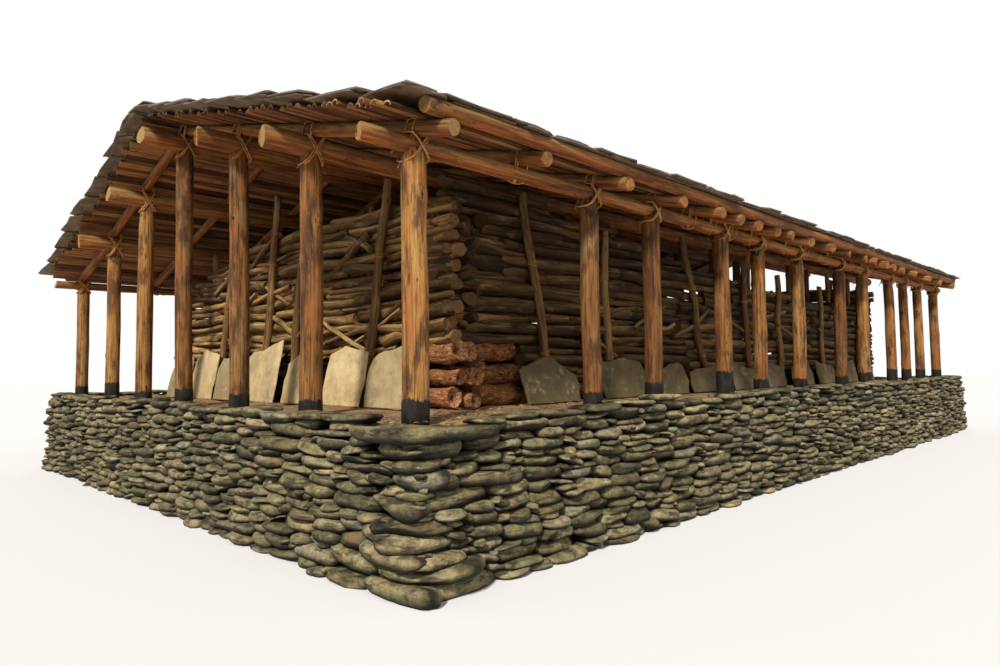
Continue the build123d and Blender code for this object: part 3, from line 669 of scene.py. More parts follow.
STONE = stone_material()
CORE = core_material()
SOIL = earth_material()
SLATE = slate_material()
SLAB = slab_material()
FERN = fern_material()
POST = wood_material(
    "peeled_post",
    [(0.26, (0.05, 0.022, 0.01)), (0.42, (0.155, 0.068, 0.026)), (0.6, (0.3, 0.145, 0.052)),
     (0.84, (0.48, 0.3, 0.125))],
    [((0.3, 0.23, 0.13), (1.6, 5, 5), 0.52, 0.64, 0.6),
     ((0.32, 0.11, 0.036), (2.2, 8, 8), 0.5, 0.62, 0.6),
     ((0.06, 0.03, 0.02), (3.0, 10, 10), 0.48, 0.6, 0.8),
     ((0.03, 0.017, 0.012), (1.2, 18, 18), 0.56, 0.66, 0.75)],
    (0.36, 0.25, 0.13), crack=0.85, shade=(0.68, 0.94))
LOG = wood_material(
    "peeled_log",
    [(0.26, (0.065, 0.026, 0.011)), (0.42, (0.18, 0.072, 0.026)), (0.6, (0.31, 0.14, 0.05)),
     (0.82, (0.43, 0.25, 0.105))],
    [((0.08, 0.036, 0.02), (2.4, 11, 11), 0.5, 0.64, 0.75),
     ((0.28, 0.2, 0.11), (1.5, 6, 6), 0.56, 0.7, 0.5),
     ((0.035, 0.018, 0.012), (1.0, 16, 16), 0.56, 0.66, 0.65)],
    (0.34, 0.23, 0.11), under=(0.34, 0.105, 0.032), over=(0.26, 0.185, 0.09), crack=0.6)
STRIP = wood_material(
    "split_strip",
    [(0.28, (0.06, 0.024, 0.012)), (0.45, (0.17, 0.068, 0.032)), (0.62, (0.3, 0.135, 0.06)),
     (0.82, (0.42, 0.24, 0.12))],
    [((0.07, 0.035, 0.02), (1.6, 9, 9), 0.5, 0.66, 0.7),
     ((0.38, 0.17, 0.07), (1.0, 8, 8), 0.55, 0.7, 0.45)],
    (0.4, 0.3, 0.19), crack=0.6, shade=(0.45, 1.25))
# Stacked logs: sides that face down are painted near black, painted shade, and sides that face up pale,
# painted light.
BRANCH = wood_material(
    "stacked_log",
    [(0.24, (0.042, 0.022, 0.01)), (0.42, (0.125, 0.068, 0.028)), (0.6, (0.24, 0.145, 0.065)),
     (0.85, (0.4, 0.285, 0.14))],
    [((0.05, 0.028, 0.016), (2.4, 9, 9), 0.5, 0.62, 0.8),
     ((0.3, 0.125, 0.045), (1.6, 7, 7), 0.54, 0.66, 0.6),
     ((0.36, 0.31, 0.2), (4, 12, 12), 0.58, 0.7, 0.6)],
    (0.16, 0.09, 0.045), under=(0.055, 0.03, 0.015), over=(0.4, 0.29, 0.15), crack=0.85, strength=1.0,
    shade=(0.34, 1.36))
BARK = wood_material(
    "bark_pole",
    [(0.24, (0.055, 0.03, 0.016)), (0.42, (0.155, 0.088, 0.042)), (0.62, (0.28, 0.175, 0.088)),
     (0.85, (0.4, 0.29, 0.165))],
    [((0.06, 0.03, 0.02), (2.5, 9, 9), 0.5, 0.64, 0.75),
     ((0.34, 0.25, 0.15), (2.2, 8, 8), 0.55, 0.68, 0.6)],
    (0.36, 0.25, 0.14), crack=0.7, strength=0.8)
VINE = wood_material(
    "vine",
    [(0.24, (0.22, 0.085, 0.03)), (0.5, (0.45, 0.2, 0.075)), (0.8, (0.6, 0.35, 0.16))],
    [((0.14, 0.06, 0.03), (3, 12, 12), 0.55, 0.68, 0.5)],
    (0.5, 0.33, 0.17), crack=0.3)

# Stone platform

X0, X1, Y0, Y1 = -0.41, LENGTH + 0.5, -0.47, DEPTH + 0.57
CORNER = 0.2
BATTER = 0.07
AROUND = 2 * (X1 - X0 + Y1 - Y0 - 4 * CORNER) + 2 * math.pi * CORNER
NEAR = AROUND - CORNER * math.pi / 4
NEAR_SLAB = np.array([
    (-0.43, 0.14), (-0.46, 0.02), (-0.42, -0.18), (-0.41, -0.38), (-0.33, -0.5), (-0.18, -0.55),
    (0.02, -0.49), (0.2, -0.51), (0.34, -0.47), (0.38, -0.37), (0.3, -0.26), (0.14, -0.17), (-0.03, -0.1),
    (-0.11, -0.02), (-0.17, 0.08), (-0.28, 0.2)])


def outline_at(s, inset):
    """Point, outward normal and wall on the platform's outline, s metres round from the front left."""
    left, right, low, high = X0 + CORNER, X1 - CORNER, Y0 + CORNER, Y1 - CORNER
    corners = np.array([(left, low, 0), (right, low, 0), (right, high, 0), (left, high, 0)])
    arc = CORNER * math.pi / 2
    s = s % AROUND
    for i, run in enumerate((right - left, high - low) * 2):
        if s < run + arc:
            bend = max(0.0, s - run)
            turn = (i - 1) * math.pi / 2 + bend / CORNER
            n = np.array([math.cos(turn), math.sin(turn), 0])
            if s < run:
                return corners[i] + n * (CORNER - inset) + np.array([-n[1], n[0], 0]) * s, n, i
            following = (i + 1) % 4
            return corners[following] + n * (CORNER - inset), n, (i if bend < arc / 2 else following)
        s -= run + arc


def from_corner(s):
    """Distance along the outline from the near corner."""
    return abs((s - NEAR + AROUND / 2) % AROUND - AROUND / 2)


def place_stone(walls, rng, s, z, size, proud, tilt):
    """Sets a stone on the platform's outline; one that turns a corner is broad and bowed."""
    p, n, side = outline_at(s, BATTER * z / KERB)
    length, deep, thick = size
    power = None
    if min(abs(n[0]), abs(n[1])) > 0.02:
        deep, power = max(deep, 0.85 * length), rng.uniform(1.9, 2.5)
        proud -= 0.05 * length
    middle = p - n * (deep / 2 - proud)
    middle[2] = z
    turns, levels = (20, 7) if from_corner(s) < 3.4 else (12, 5) if side in (0, 3) else (10, 4)
    size = (length, deep, thick)
    add_stone(walls[side], rng, middle, (-n[1], n[0], 0), n, size, turns, levels, tilt=tilt, power=power)


def kerb_top(s):
    """The kerb sinks to the earth's level at the near corner and rises again on both sides."""
    return KERB - 0.052 * math.exp(-(from_corner(s) / 1.5) ** 2)


def add_near_slab(shape, rng):
    """The one broad slab that caps the near corner, bent round the first post."""
    middle = np.array([-0.24, -0.32, EARTH - 0.045])
    halfway = 0.5 * (NEAR_SLAB + np.roll(NEAR_SLAB, -1, 0))
    ring = np.stack([NEAR_SLAB, halfway], 1).reshape(-1, 2) - middle[:2]
    size = (0.9, 0.5, 0.088)
    add_stone(shape, rng, middle, (1, 0, 0), (0, 1, 0), size, levels=9, tone=0.42, plan=ring, lumps=0.2)


def lay_kerb(walls, rng, top, step):
    """Caps the walls with stones end to end, all round but for the near slab."""
    s = NEAR + 0.6
    last = NEAR - 0.6 + AROUND
    while s < last - 0.05:
        length = min(rng.uniform(0.26, 0.56), last - s)
        if last - s - length < 0.15:
            length = last - s
        under = top[np.arange(int(s / step), int((s + length) / step) + 1) % len(top)]
        mid = s + length / 2
        base = np.percentile(under, 60)
        thick = float(np.clip(kerb_top(mid) + rng.uniform(-0.015, 0.02) - base, 0.05, 0.12))
        size = (length * 1.03, rng.uniform(0.24, 0.34), thick)
        proud, tilt = rng.uniform(-0.01, 0.04), rng.uniform(-0.04, 0.04)
        place_stone(walls, rng, mid, base + thick / 2, size, proud, tilt)
        s += length


def lay_stones():
    """Lays flat stones into the lowest gap again and again until the walls are full, then the kerb."""
    rng = np.random.default_rng(11)
    walls = [Shape() for _ in range(4)]
    bins = int(AROUND / 0.02)
    step = AROUND / bins
    top = rng.uniform(-0.015, 0.0, bins)
    goal = np.array([kerb_top(i * step) for i in range(bins)]) - 0.1
    span, ledge = 30, 0.036
    while True:
        low = int(np.argmin(top - goal))
        if top[low] > goal[low]:
            break
        level = top[low]
        window = top[(low + np.arange(-span, span + 1)) % bins]
        left = right = span
        while left > 0 and window[left - 1] < level + ledge:
            left -= 1
        while right < 2 * span and window[right + 1] < level + ledge:
            right += 1
        valley = (right - left + 1) * step
        far = from_corner(low * step)
        big = 0.4 if far < 0.9 else 0.12
        sizes = [rng.uniform(0.2, 0.3), rng.uniform(0.28, 0.48), rng.uniform(0.46, 0.7)]
        wish = rng.choice(sizes, p=[0.25, 0.75 - big, big])
        if valley < 0.16:
            left, right = max(0, left - 3), min(2 * span, right + 3)
            wish = (right - left + 1) * step
        cells = max(4, int(min(wish, valley * 1.1 + 0.04) / step))
        first = low - span + (left if rng.uniform() < 0.5 else right - cells + 1)
        index = (first + np.arange(cells)) % bins
        heights = top[index]
        length = cells * step
        third = max(1, cells // 3)
        mean = heights.mean()
        a, b = (0.5 * (part.max() + mean) for part in (heights[:third], heights[-third:]))
        thick = length * rng.uniform(0.17, 0.3)
        thick = float(np.clip(thick, 0.042, rng.uniform(0.075, 0.11) + 0.02 * (far < 0.8)))
        if rng.uniform() < 0.12:
            thick *= 0.5
        if level + thick > goal[low] + 0.06:
            thick = max(0.035, goal[low] + 0.06 - level)
        tilt = float(np.clip(math.atan2(b - a, length * 0.7) + rng.uniform(-0.03, 0.03), -0.2, 0.2))
        base = max((a + b) / 2 - 0.002, mean - 0.004)
        size = (length * 1.02, rng.uniform(0.22, 0.32), thick * 1.02)
        s = first * step + length / 2
        place_stone(walls, rng, s, base + thick / 2, size, rng.uniform(-0.035, 0.03), tilt)
        slope = (np.arange(cells) + 0.5) / cells - 0.5
        dome = 1 - 0.25 * np.abs(2 * slope) ** 4
        top[index] = np.maximum(top[index], base + slope * length * math.tan(tilt) + thick * dome)
    add_near_slab(walls[0], rng)
    lay_kerb(walls, rng, top, step)
    return walls


def flakes(shape, rng):
    """Dry leaves and chips lying on the earth, more of them near the front."""
    far, near = 1700, 900
    x = np.concatenate([rng.uniform(0.0, LENGTH, far), rng.uniform(-0.2, 3.5, near)])
    y = np.concatenate([rng.uniform(-0.05, DEPTH, far), rng.uniform(-0.15, 0.9, near)])
    for px, py in zip(x, y):
        turn = phase(rng)
        c, s = math.cos(turn), math.sin(turn)
        a = np.array([c, s, rng.uniform(-0.25, 0.25)]) * rng.uniform(0.012, 0.035)
        b = np.array([-s, c, rng.uniform(-0.25, 0.25)]) * rng.uniform(0.006, 0.016)
        m = np.array([px, py, EARTH + rng.uniform(0.006, 0.014)])
        shape.add([m - a, m + b, m + a, m - b], [(0, 1, 2, 3) if rng.uniform() < 0.5 else (0, 3, 2, 1)])


def platform():
    for name, shape in zip(("front", "right", "back", "left"), lay_stones()):
        build(name + "_stones", shape, STONE, [name + "_retaining_wall"])
    # A near-black core behind the stones: painted shade in the gaps.
    core = Shape()
    behind, inner, high = 0.2, 0.3, 0.9
    add_box(core, (X0 + behind, Y0 + behind, 0.0), (X1 - behind, Y0 + inner, high))
    add_box(core, (X0 + behind, Y1 - inner, 0.0), (X1 - behind, Y1 - behind, high))
    add_box(core, (X0 + behind, Y0 + inner, 0.0), (X0 + inner, Y1 - inner, high))
    add_box(core, (X1 - inner, Y0 + inner, 0.0), (X1 - behind, Y1 - inner, high))
    build("rubble_core_painted_shade", core, CORE, smooth=False)
    rng = np.random.default_rng(3)
    fill = Shape()
    nx, ny = 100, 60
    gx, gy = np.linspace(X0 + inner, X1 - inner, nx), np.linspace(Y0 + inner, Y1 - inner, ny)
    x, y = np.meshgrid(gx, gy, indexing="ij")
    z = np.full(x.shape, EARTH - 0.004)
    for _ in range(14):
        a, b = rng.uniform(-9, 9, 2)
        z = z + 0.0022 * np.sin(a * x + b * y + phase(rng))
    edge = np.minimum.reduce([x - gx[0], gx[-1] - x, y - gy[0], gy[-1] - y])
    z = z - 0.07 * np.exp(-(edge / 0.1) ** 2)
    fill.add(np.stack([x, y, z], -1).reshape(-1, 3), grid(nx, ny, wrap=False))
    add_box(fill, (gx[0], gy[0], 0.0), (gx[-1], gy[-1], EARTH - 0.09))
    flakes(fill, rng)
    build("earth_top", fill, SOIL, ["earth_fill"])


# Posts, purlins, rafters and eave poles; TARRED is the height of the tar on each front post

TARRED = [0.146, 0.14, 0.2, 0.28, 0.18, 0.16, 0.16, 0.2, 0.25, 0.24, 0.22, 0.21]


def add_post(shape, rng, x, line, radius, fine=False, tarred=None):
    """A post with a tarred foot and a hacked head, cut to the purlin that it carries."""
    high = purlin_z(line) - PURLIN_R[line] - SEAT
    tall = high - EARTH + 0.03
    y = POST_Y[line]
    path = crooked(rng, (x, y, EARTH - 0.02), (x, y, high + 0.01), 0.014, 20 if fine else 9, 3.0)
    centre(path, (x, y), (0, 1), [0, -1])
    foot = 0.02 + (tarred or rng.uniform(0.12, 0.24))
    turn, reach = phase(rng), rng.uniform(0.1, 0.22)

    def hacked(u, theta):
        return u > tall - 0.03 - reach * np.maximum(0, np.cos(theta - turn)) ** 0.7

    # The tar at the foot; the hacked head is painted dark too, painted shadow of the purlin.
    def paint(u, theta):
        return np.minimum(-np.clip((foot + 0.03 - u) / 0.055, 0, 1), -0.45 * hacked(u, theta))

    def swell(u, theta):
        return 1 + 0.03 * (u < foot) - 0.07 * hacked(u, theta)

    extra = [foot - 0.025, foot + 0.03] + [tall - d for d in (0.04, 0.08, 0.13, 0.18, 0.24)]
    add_log(shape, rng, path, radius, (1.02, 1.0, 0.98, 1.0, 0.96, 0.99, 0.97), 26 if fine else 14, 0.03,
            rng.integers(4, 8) if fine else 1, caps=(0, 1), paint=paint, swell=swell, extra=extra,
            saddle=PURLIN_R[line])


def posts():
    rng = np.random.default_rng(5)
    rows = {name: Shape() for name in ("front", "back", "left", "right", "inner")}
    for i, x in enumerate(POST_X):
        add_post(rows["front"], rng, x, 0, rng.uniform(0.082, 0.094), i < 5, TARRED[i])
        add_post(rows["back"], rng, x, 6, rng.uniform(0.08, 0.092))
    for line in range(1, 6):
        add_post(rows["left"], rng, 0, line, rng.uniform(0.082, 0.092), line < 5)
        add_post(rows["right"], rng, LENGTH, line, rng.uniform(0.082, 0.092))
        for x in INNER_X:
            add_post(rows["inner"], rng, x, line, 0.078)
    for name, shape in rows.items():
        build(name + "_post_logs", shape, POST, [name + "_posts"])


def purlins():
    rng = np.random.default_rng(8)
    for line, name in enumerate(PURLINS):
        shape = Shape()
        y, z, over = POST_Y[line], purlin_z(line), PURLIN_OVER[line]
        path = crooked(rng, (-over, y, z), (LENGTH + over, y, z), 0.007, 70, 9.0, 0)
        centre(path, (0, y, z), (1, 2))
        add_log(shape, rng, path, PURLIN_R[line], (1.03, 1.0, 0.98, 1.0, 0.97), 20, 0.025, 14, pace=3.0,
                cut=0.035)
        build(name + "_purlin_log", shape, LOG, [name + "_purlin"])


def rafters():
    rng = np.random.default_rng(9)
    for side, name in SIDES:
        shape = Shape()
        along = RAFTER_REACH[side] / math.cos(SLOPE[side])
        for x in RAFTER_X:
            low = on_slope(side, along + rng.uniform(-0.05, 0.05), SEAT + RAFTER_R)
            high = on_slope(side, 0.03, SEAT + RAFTER_R)
            low[0], high[0] = x + rng.uniform(-0.02, 0.02), x + rng.uniform(-0.02, 0.02)
            path = crooked(rng, low, high, 0.008, 18, 4.0)
            # Only the first front rafter shows a pale sawn end; the other ends are painted darker, painted
            # shade.
            add_log(shape, rng, path, RAFTER_R, (1.08, 1.0, 1.02, 0.95, 0.92), 14, 0.04, 5, caps=(1, 0),
                    pace=3.0, cut=0.02, sawn=0.75 if x < 0.5 and side < 0 else 0.14)
        build(name + "_rafter_logs", shape, LOG, [name + "_rafters"])


def pole_line(side):
    """Place of the eave pole's middle, down the slope and above it."""
    above = SEAT * 2 + 2 * RAFTER_R + POLE_R
    return POLE_REACH[side] / math.cos(SLOPE[side]) - above * math.tan(SLOPE[side]), above


def dark_ends(u, theta):
    """Weathered black at both ends of an eave pole."""
    last = LENGTH + 2 * POLE_OVER
    return -0.48 * ((u < 0.05) | (u > last - 0.05))


def eave_poles():
    rng = np.random.default_rng(10)
    for side, name in SIDES:
        shape = Shape()
        p = on_slope(side, *pole_line(side))
        path = crooked(rng, p - [POLE_OVER, 0, 0], p + [LENGTH + POLE_OVER, 0, 0], 0.01, 70, 12.0, 0)
        centre(path, p, (1, 2))
        add_log(shape, rng, path, POLE_R, (1.05, 1, 0.97, 1, 0.95), 18, 0.035, 22, 0.1, pace=3.0,
                paint=dark_ends, sawn=0.3)
        build(name + "_eave_log", shape, LOG, [name + "_eave_pole"])


# Deck and slates; STRIP_END closes the ring of a strip, and EAVE_CORNER is how far in from the verge
# the first courses of the front start

STRIP_END = np.array([(0, 11, 10, 2), (2, 10, 9, 3), (3, 9, 8, 4), (4, 8, 7, 6)])
EAVE_CORNER = [0.13, 0.07, 0.0]


def add_strip(shape, rng, side, along, x, run, pitch):
    """A split strip of the deck, half a tube in section, that lies along the house."""
    down, up = slope_axes(side)
    t = np.linspace(0, 1, 5)
    wide = 0.5 * pitch * rng.uniform(0.84, 1.03)
    thick = rng.uniform(0.009, 0.013)
    high = DECK_T * rng.uniform(0.8, 1.0)
    outside, inside = np.linspace(0, math.pi, 7)[:, None], np.linspace(math.pi, 0, 5)[:, None]
    ring = np.vstack([np.hstack([wide * np.cos(outside), high * np.sin(outside)]),
                      np.hstack([(wide - thick) * np.cos(inside), (high - thick) * np.sin(inside)])])
    middle = on_slope(side, along + rng.uniform(-0.004, 0.004), DECK_LOW)
    drift = 0.006 * sway(rng, t, 2, 6)
    rise = 0.003 * sway(rng, t, 3, 9) + rng.uniform(0, 0.003)
    path = middle + np.outer(drift, down) + np.outer(rise, up)
    path[:, 0] = x + run * t
    swell = 1 + 0.06 * sway(rng, t, 2, 7)
    v = path[:, None] + swell[:, None, None] * ring[None, :, :1] * down + ring[None, :, 1:] * up
    grain = np.empty(v.shape)
    grain[..., 0] = run * t[:, None]
    grain[..., 1:] = ring
    grain += rng.uniform(0, 50, 3)
    quads = grid(len(t), len(ring), flip=True)
    if side > 0:
        quads = quads[:, ::-1]
    shape.add(v.reshape(-1, 3), quads, (), grain.reshape(-1, 3), rng.uniform())
    for end in (0, -1):
        quads = STRIP_END if (end < 0) == (side > 0) else STRIP_END[:, ::-1]
        shape.add(v[end], quads, (), grain[end], rng.uniform(0.4, 1), 0.6)


def strips():
    rng = np.random.default_rng(12)
    for side, name in SIDES:
        shape = Shape()
        end = pole_line(side)[0] - POLE_R - 0.016
        count = int(end / 0.088)
        for row in range(count):
            along = 0.05 + (end - 0.05) * (row + 0.5) / count
            x = -DECK_OVER + rng.uniform(-0.07, 0.05)
            while x < LENGTH + DECK_OVER - 0.07:
                run = rng.uniform(2.6, 4.4)
                if LENGTH + DECK_OVER - x - run < 1.0:
                    run = LENGTH + DECK_OVER + rng.uniform(-0.04, 0.04) - x
                add_strip(shape, rng, side, along, x, run, end / count)
                x += run
        build(name + "_strips", shape, STRIP, [name + "_roof_deck"])


def slate_lines(side):
    """Foot and head of each course as in the solids: (start, low, end, high)."""
    deck_top = DECK_LOW + DECK_T
    along, above = pole_line(side)
    run = SLATE_REACH[side] / math.cos(SLOPE[side]) - (above + POLE_R + SLATE_T) * math.tan(SLOPE[side])
    exposure = run / COURSES
    length = exposure + LAP
    foot = (above + POLE_R + 0.0012 - deck_top) * length / (length - (run - along)) + SEAT
    lines = []
    for course in range(COURSES):
        start = run - course * exposure
        end = max(start - length, SEAT)
        head = SEAT
        if end > start - length:
            head = foot - (foot - SEAT) * (start - end) / length
        lines.append((start, deck_top + foot, end, deck_top + head))
        foot = foot - (foot - SEAT) * exposure / length + SLATE_T + SEAT
    return lines


def add_course(shape, rng, side, line, layer, x):
    """One layer of slates along a course, from x to the far verge."""
    start, low, end, high = line
    a, b = on_slope(side, start, low), on_slope(side, end, high)
    ax, ay = np.array([-float(side), 0, 0]), unit(b - a)
    normal = np.cross(ax, ay)
    deep = np.linalg.norm(b - a)
    shrink = 0.6 if layer else 1.0
    while x < LENGTH + VERGE - 0.08:
        width = rng.choice([rng.uniform(0.3, 0.5), rng.uniform(0.45, 0.75)]) * shrink
        shrink = 1.0
        if LENGTH + VERGE - x - width < 0.2:
            width = LENGTH + VERGE + rng.uniform(-0.05, 0.05) - x
        thick = rng.uniform(0.012, 0.019)
        foot = rng.uniform(-0.045, 0.03) if layer else rng.uniform(-0.02, 0.05)
        head = deep - rng.uniform(0.0, 0.03)
        out = broken_rectangle(rng, x - 0.008, x + width + 0.012, foot, head, 0.014)
        if side > 0:
            out = (out * [-1, 1])[::-1]
        origin = a + normal * (layer * 0.0155 + rng.uniform(-0.002, 0.003))
        origin[0] = 0
        own_ay = unit(ay + normal * rng.uniform(-0.006, 0.006) + ax * rng.uniform(-0.03, 0.03))
        own_ax = unit(np.cross(own_ay, normal) + normal * rng.uniform(-0.006, 0.006))
        mid = out.mean(0)
        add_plate(shape, rng, out - mid, thick, origin + ax * mid[0] + ay * mid[1], own_ax, own_ay)
        x += width


def slates():
    rng = np.random.default_rng(14)
    heads = []
    for side, name in SIDES:
        shape = Shape()
        for course, line in enumerate(slate_lines(side)):
            for layer, first in ((0, -VERGE - 0.02), (1, -VERGE)):
                x = first + rng.uniform(-0.05, 0.04) + (EAVE_CORNER[min(course, 2)] if side < 0 else 0)
                add_course(shape, rng, side, line, layer, x)
        heads.append(on_slope(side, line[2], line[3] + SLATE_T)[2])
        build(name + "_slate_courses", shape, SLATE, [name + "_slates"], False)
    shape = Shape()
    x = -VERGE
    while x < LENGTH + VERGE - 0.1:
        width = rng.uniform(0.4, 0.8)
        if LENGTH + VERGE - x - width < 0.25:
            width = LENGTH + VERGE - x
        out = broken_rectangle(rng, x - 0.03, x + width + 0.03, RIDGE_Y - 0.26, RIDGE_Y + 0.26, 0.015)
        mid = out.mean(0)
        origin = (mid[0], mid[1], max(heads) + SEAT + rng.uniform(0, 0.004))
        thick = rng.uniform(0.018, 0.027)
        ax, ay = (1, 0, rng.uniform(-0.01, 0.01)), (0, 1, rng.uniform(-0.01, 0.01))
        add_plate(shape, rng, out - mid, thick, origin, ax, ay, 0.008, sag=0.02)
        x += width
    build("ridge_slabs", shape, SLATE, ["ridge_slates"], False)


# Log walls; the tops give the height in log courses at places along the wall

DOOR = (2.975, 3.825)
WALL_X = 1.036
WALL_Y = 1.0
WALL_T = 0.124
BACK_WALL_Y = DEPTH - WALL_Y
GABLE_START = WALL_Y - 0.1
GABLE_END = BACK_WALL_Y + 0.1
COURSE = 0.1243
FERN_STEP = 0.2063
LEFT_TOPS = [(GABLE_START, 15.2), (1.5, 15.6), (2.2, 16), (4.3, 16), (4.5, 15.4), (5.1, 14.8), (5.7, 14),
             (6.35, 13), (GABLE_END, 12)]
FRONT_TOPS = [(WALL_X, 16.6), (2.4, 17), (2.7, 16.2), (4.3, 15), (4.7, 14), (7.0, 13.1), (7.4, 12)]


def stack(shape, rng, place, start, end, target, floor=None, *, deep, sides, tones, thick=(0.036, 0.09),
          lengths=(0.6, 2.6), wander=0.014, ends=0.1, loose=0.035, knots=3, crook=0.3):
    """Stacks crooked logs between start and end, each into the lowest gap, up to the target's height.

    Place turns (along, deep, z) into a point; target and floor give heights for places along the wall.
    """
    step, ledge = 0.05, 0.045
    n = int((end - start) / step)
    s = start + step * (np.arange(n) + 0.5)
    top = np.full(n, EARTH + 0.004) if floor is None else floor(s).copy()
    goal = target(s)
    for _ in range(4000):
        room = goal - top
        candidates = np.where(room > 0.05)[0]
        if not len(candidates):
            break
        a = b = candidates[np.argmin(top[candidates])]
        level = top[a]
        while a > 0 and top[a - 1] < level + ledge and room[a - 1] > 0.02:
            a -= 1
        while b < n - 1 and top[b + 1] < level + ledge and room[b + 1] > 0.02:
            b += 1
        cells = max(4, int(rng.uniform(*lengths) / step))
        if b - a + 1 > cells + 8:
            if rng.uniform() < 0.5:
                b = a + cells
            else:
                a = b - cells
        if b - a < 3:
            a, b = max(0, a - 2), min(n - 1, b + 2)
        r = min(rng.uniform(*thick), max(0.028, room[a:b + 1].mean() * 0.62 + 0.01))
        index = np.arange(a, b + 1)
        heights = top[index]
        count = len(index)
        k = max(2, min(12, count // 2))
        pad = np.concatenate([np.full(k, heights[:2].mean()), heights, np.full(k, heights[-2:].mean())])
        smooth = np.convolve(pad, np.ones(2 * k + 1) / (2 * k + 1), "valid")
        z = 0.45 * smooth + 0.55 * np.linspace(smooth[0], smooth[-1], count) + r * 0.96
        points = max(5, min(14, count // 4))
        pick = np.linspace(0, count - 1, points)
        along = np.interp(pick, np.arange(count), s[index])
        along[0] -= step / 2 + rng.uniform(-0.5, 1.0) * (a == 0) * ends
        along[-1] += step / 2 + rng.uniform(-0.5, 1.0) * (b == n - 1) * ends
        t = np.linspace(0, 1, points)
        high = r * crook * rng.uniform(0.2, 1.0) * sway(rng, t, 3, 8) + np.interp(pick, np.arange(count), z)
        depth = deep + rng.uniform(-0.022, 0.022) + wander * sway(rng, t, 2, 6)
        path = np.array([place(*item) for item in zip(along, depth, high)])
        taper = np.linspace(1, rng.uniform(0.66, 0.96), 3)
        if rng.uniform() < 0.5:
            taper = taper[::-1]
        add_log(shape, rng, path, r, taper, sides, 0.12, rng.integers(0, knots), rng.uniform(*tones),
                pace=7.0, cut=0.03)
        top[index] = np.maximum(heights, z + r * 0.93 + rng.uniform(0, 1) ** 3 * loose)


def course_goal(tops):
    at, high = np.array(tops).T
    return lambda s: np.interp(s, at, high * COURSE + EARTH)


def butt_ends(shape, rng):
    """Short logs packed crosswise into the front left corner, their ends facing out."""
    for k in range(15):
        z = EARTH + 0.66 + 1.25 * k / 15 + rng.uniform(-0.03, 0.03)
        x = 1.12 + 0.42 * ((k * 0.382) % 1.0) + rng.uniform(-0.05, 0.05)
        r = rng.uniform(0.035, 0.08)
        a = np.array([x, rng.uniform(0.88, 1.0), z])
        b = a + [rng.uniform(-0.3, 0.3), 0.5, rng.uniform(-0.2, 0.2)]
        b[0] = max(b[0], 1.1)
        path = crooked(rng, a, b, 0.012, 6)
        # Low tones, as on the front wall: painted shade.
        add_log(shape, rng, path, r, (1, 0.9), 12, 0.12, 1, rng.uniform(0, 0.4), (1, 0), 6.0, 0.05)


def stray_sticks(shape, rng, place, low, high, count, tall):
    """Slanting sticks that lie against the outside of a stacked wall."""
    for _ in range(count):
        at, z = rng.uniform(low, high), EARTH + rng.uniform(0.55, tall)
        run, slant = rng.uniform(0.25, 0.6), rng.choice([-1, 1]) * rng.uniform(0.1, 0.55)
        a = place(at - run, rng.uniform(-0.045, -0.02), z - run * slant)
        b = place(at + run, rng.uniform(-0.02, 0.04), z + run * slant)
        r = rng.uniform(0.02, 0.042)
        path = crooked(rng, a, b, 0.03, 9, 4.0)
        add_log(shape, rng, path, r, (1, 0.8), 9, 0.12, 1, rng.uniform(0.3, 1), pace=6.0, cut=0.03)


def log_walls():
    """Stacks each wall twice: an outer layer of crooked logs and an inner one that is packed closer."""
    rng = np.random.default_rng(21)
    gable, front = course_goal(LEFT_TOPS), course_goal(FRONT_TOPS)
    x0, x1 = WALL_X + 0.1, LENGTH - WALL_X - 0.1
    door_top = EARTH + 1.62
    fern_top = EARTH + 3 * FERN_STEP - 0.03

    def left(s, d, z):
        return (WALL_X + d, s, z)

    def right(s, d, z):
        return (LENGTH - WALL_X - d, s, z)

    def ahead(s, d, z):
        return (s, WALL_Y + d, z)

    def behind(s, d, z):
        return (s, BACK_WALL_Y - d, z)

    def level(at):
        return lambda s: np.full(len(s), at)

    def beside_fern(reach):
        return lambda s: np.where(s < reach, fern_top, EARTH + 0.004)

    walls = [Shape() for _ in range(4)]
    # The tones set each wall's brightness: painted light on the gables, painted shade on the front, the back
    # between.
    thin = dict(thick=(0.028, 0.066), wander=0.026, tones=(0.4, 1.0), crook=0.75)
    packed = dict(thick=(0.045, 0.08), loose=0.0, crook=0.2, wander=0.01)
    for drop, common in ((0.0, dict(deep=0.05, sides=11)), (0.08, dict(deep=0.11, sides=6, **packed))):

        def gable_top(s):
            return gable(s) - drop

        def front_top(s):
            return front(s) - drop

        def beside_door(s):
            return np.minimum(gable_top(s), door_top)

        thinner = {**thin, **common}
        back = {**common, "sides": min(common["sides"], 9)}
        back_top = level(EARTH + 11 * COURSE - drop)
        stack(walls[0], rng, left, GABLE_START, GABLE_END, gable_top, beside_fern(1.66), **thinner)
        stack(walls[1], rng, ahead, x0, x1, front_top, beside_fern(2.15), tones=(0.0, 0.45), **common)
        stack(walls[2], rng, right, GABLE_START, DOOR[0], level(door_top), ends=0.0, **thinner)
        stack(walls[2], rng, right, DOOR[1], GABLE_END, beside_door, ends=0.0, **thinner)
        stack(walls[2], rng, right, GABLE_START, 5.6, gable_top, level(door_top), lengths=(2.6, 4.6),
              **thinner)
        stack(walls[3], rng, behind, x0, x1, back_top, tones=(0.2, 0.8), knots=2, **back)
    butt_ends(walls[1], rng)
    stray_sticks(walls[0], rng, left, 1.3, 5.6, 16, 1.75)
    stray_sticks(walls[1], rng, ahead, 1.8, 12.0, 12, 1.3)
    stray_sticks(walls[2], rng, right, 4.4, 6.4, 5, 1.3)
    stray_sticks(walls[3], rng, behind, 1.8, 12.0, 10, 1.1)
    for name, shape in zip(("left", "front", "right", "back"), walls):
        build(name + "_stacked_logs", shape, BRANCH, [name + "_log_wall"])


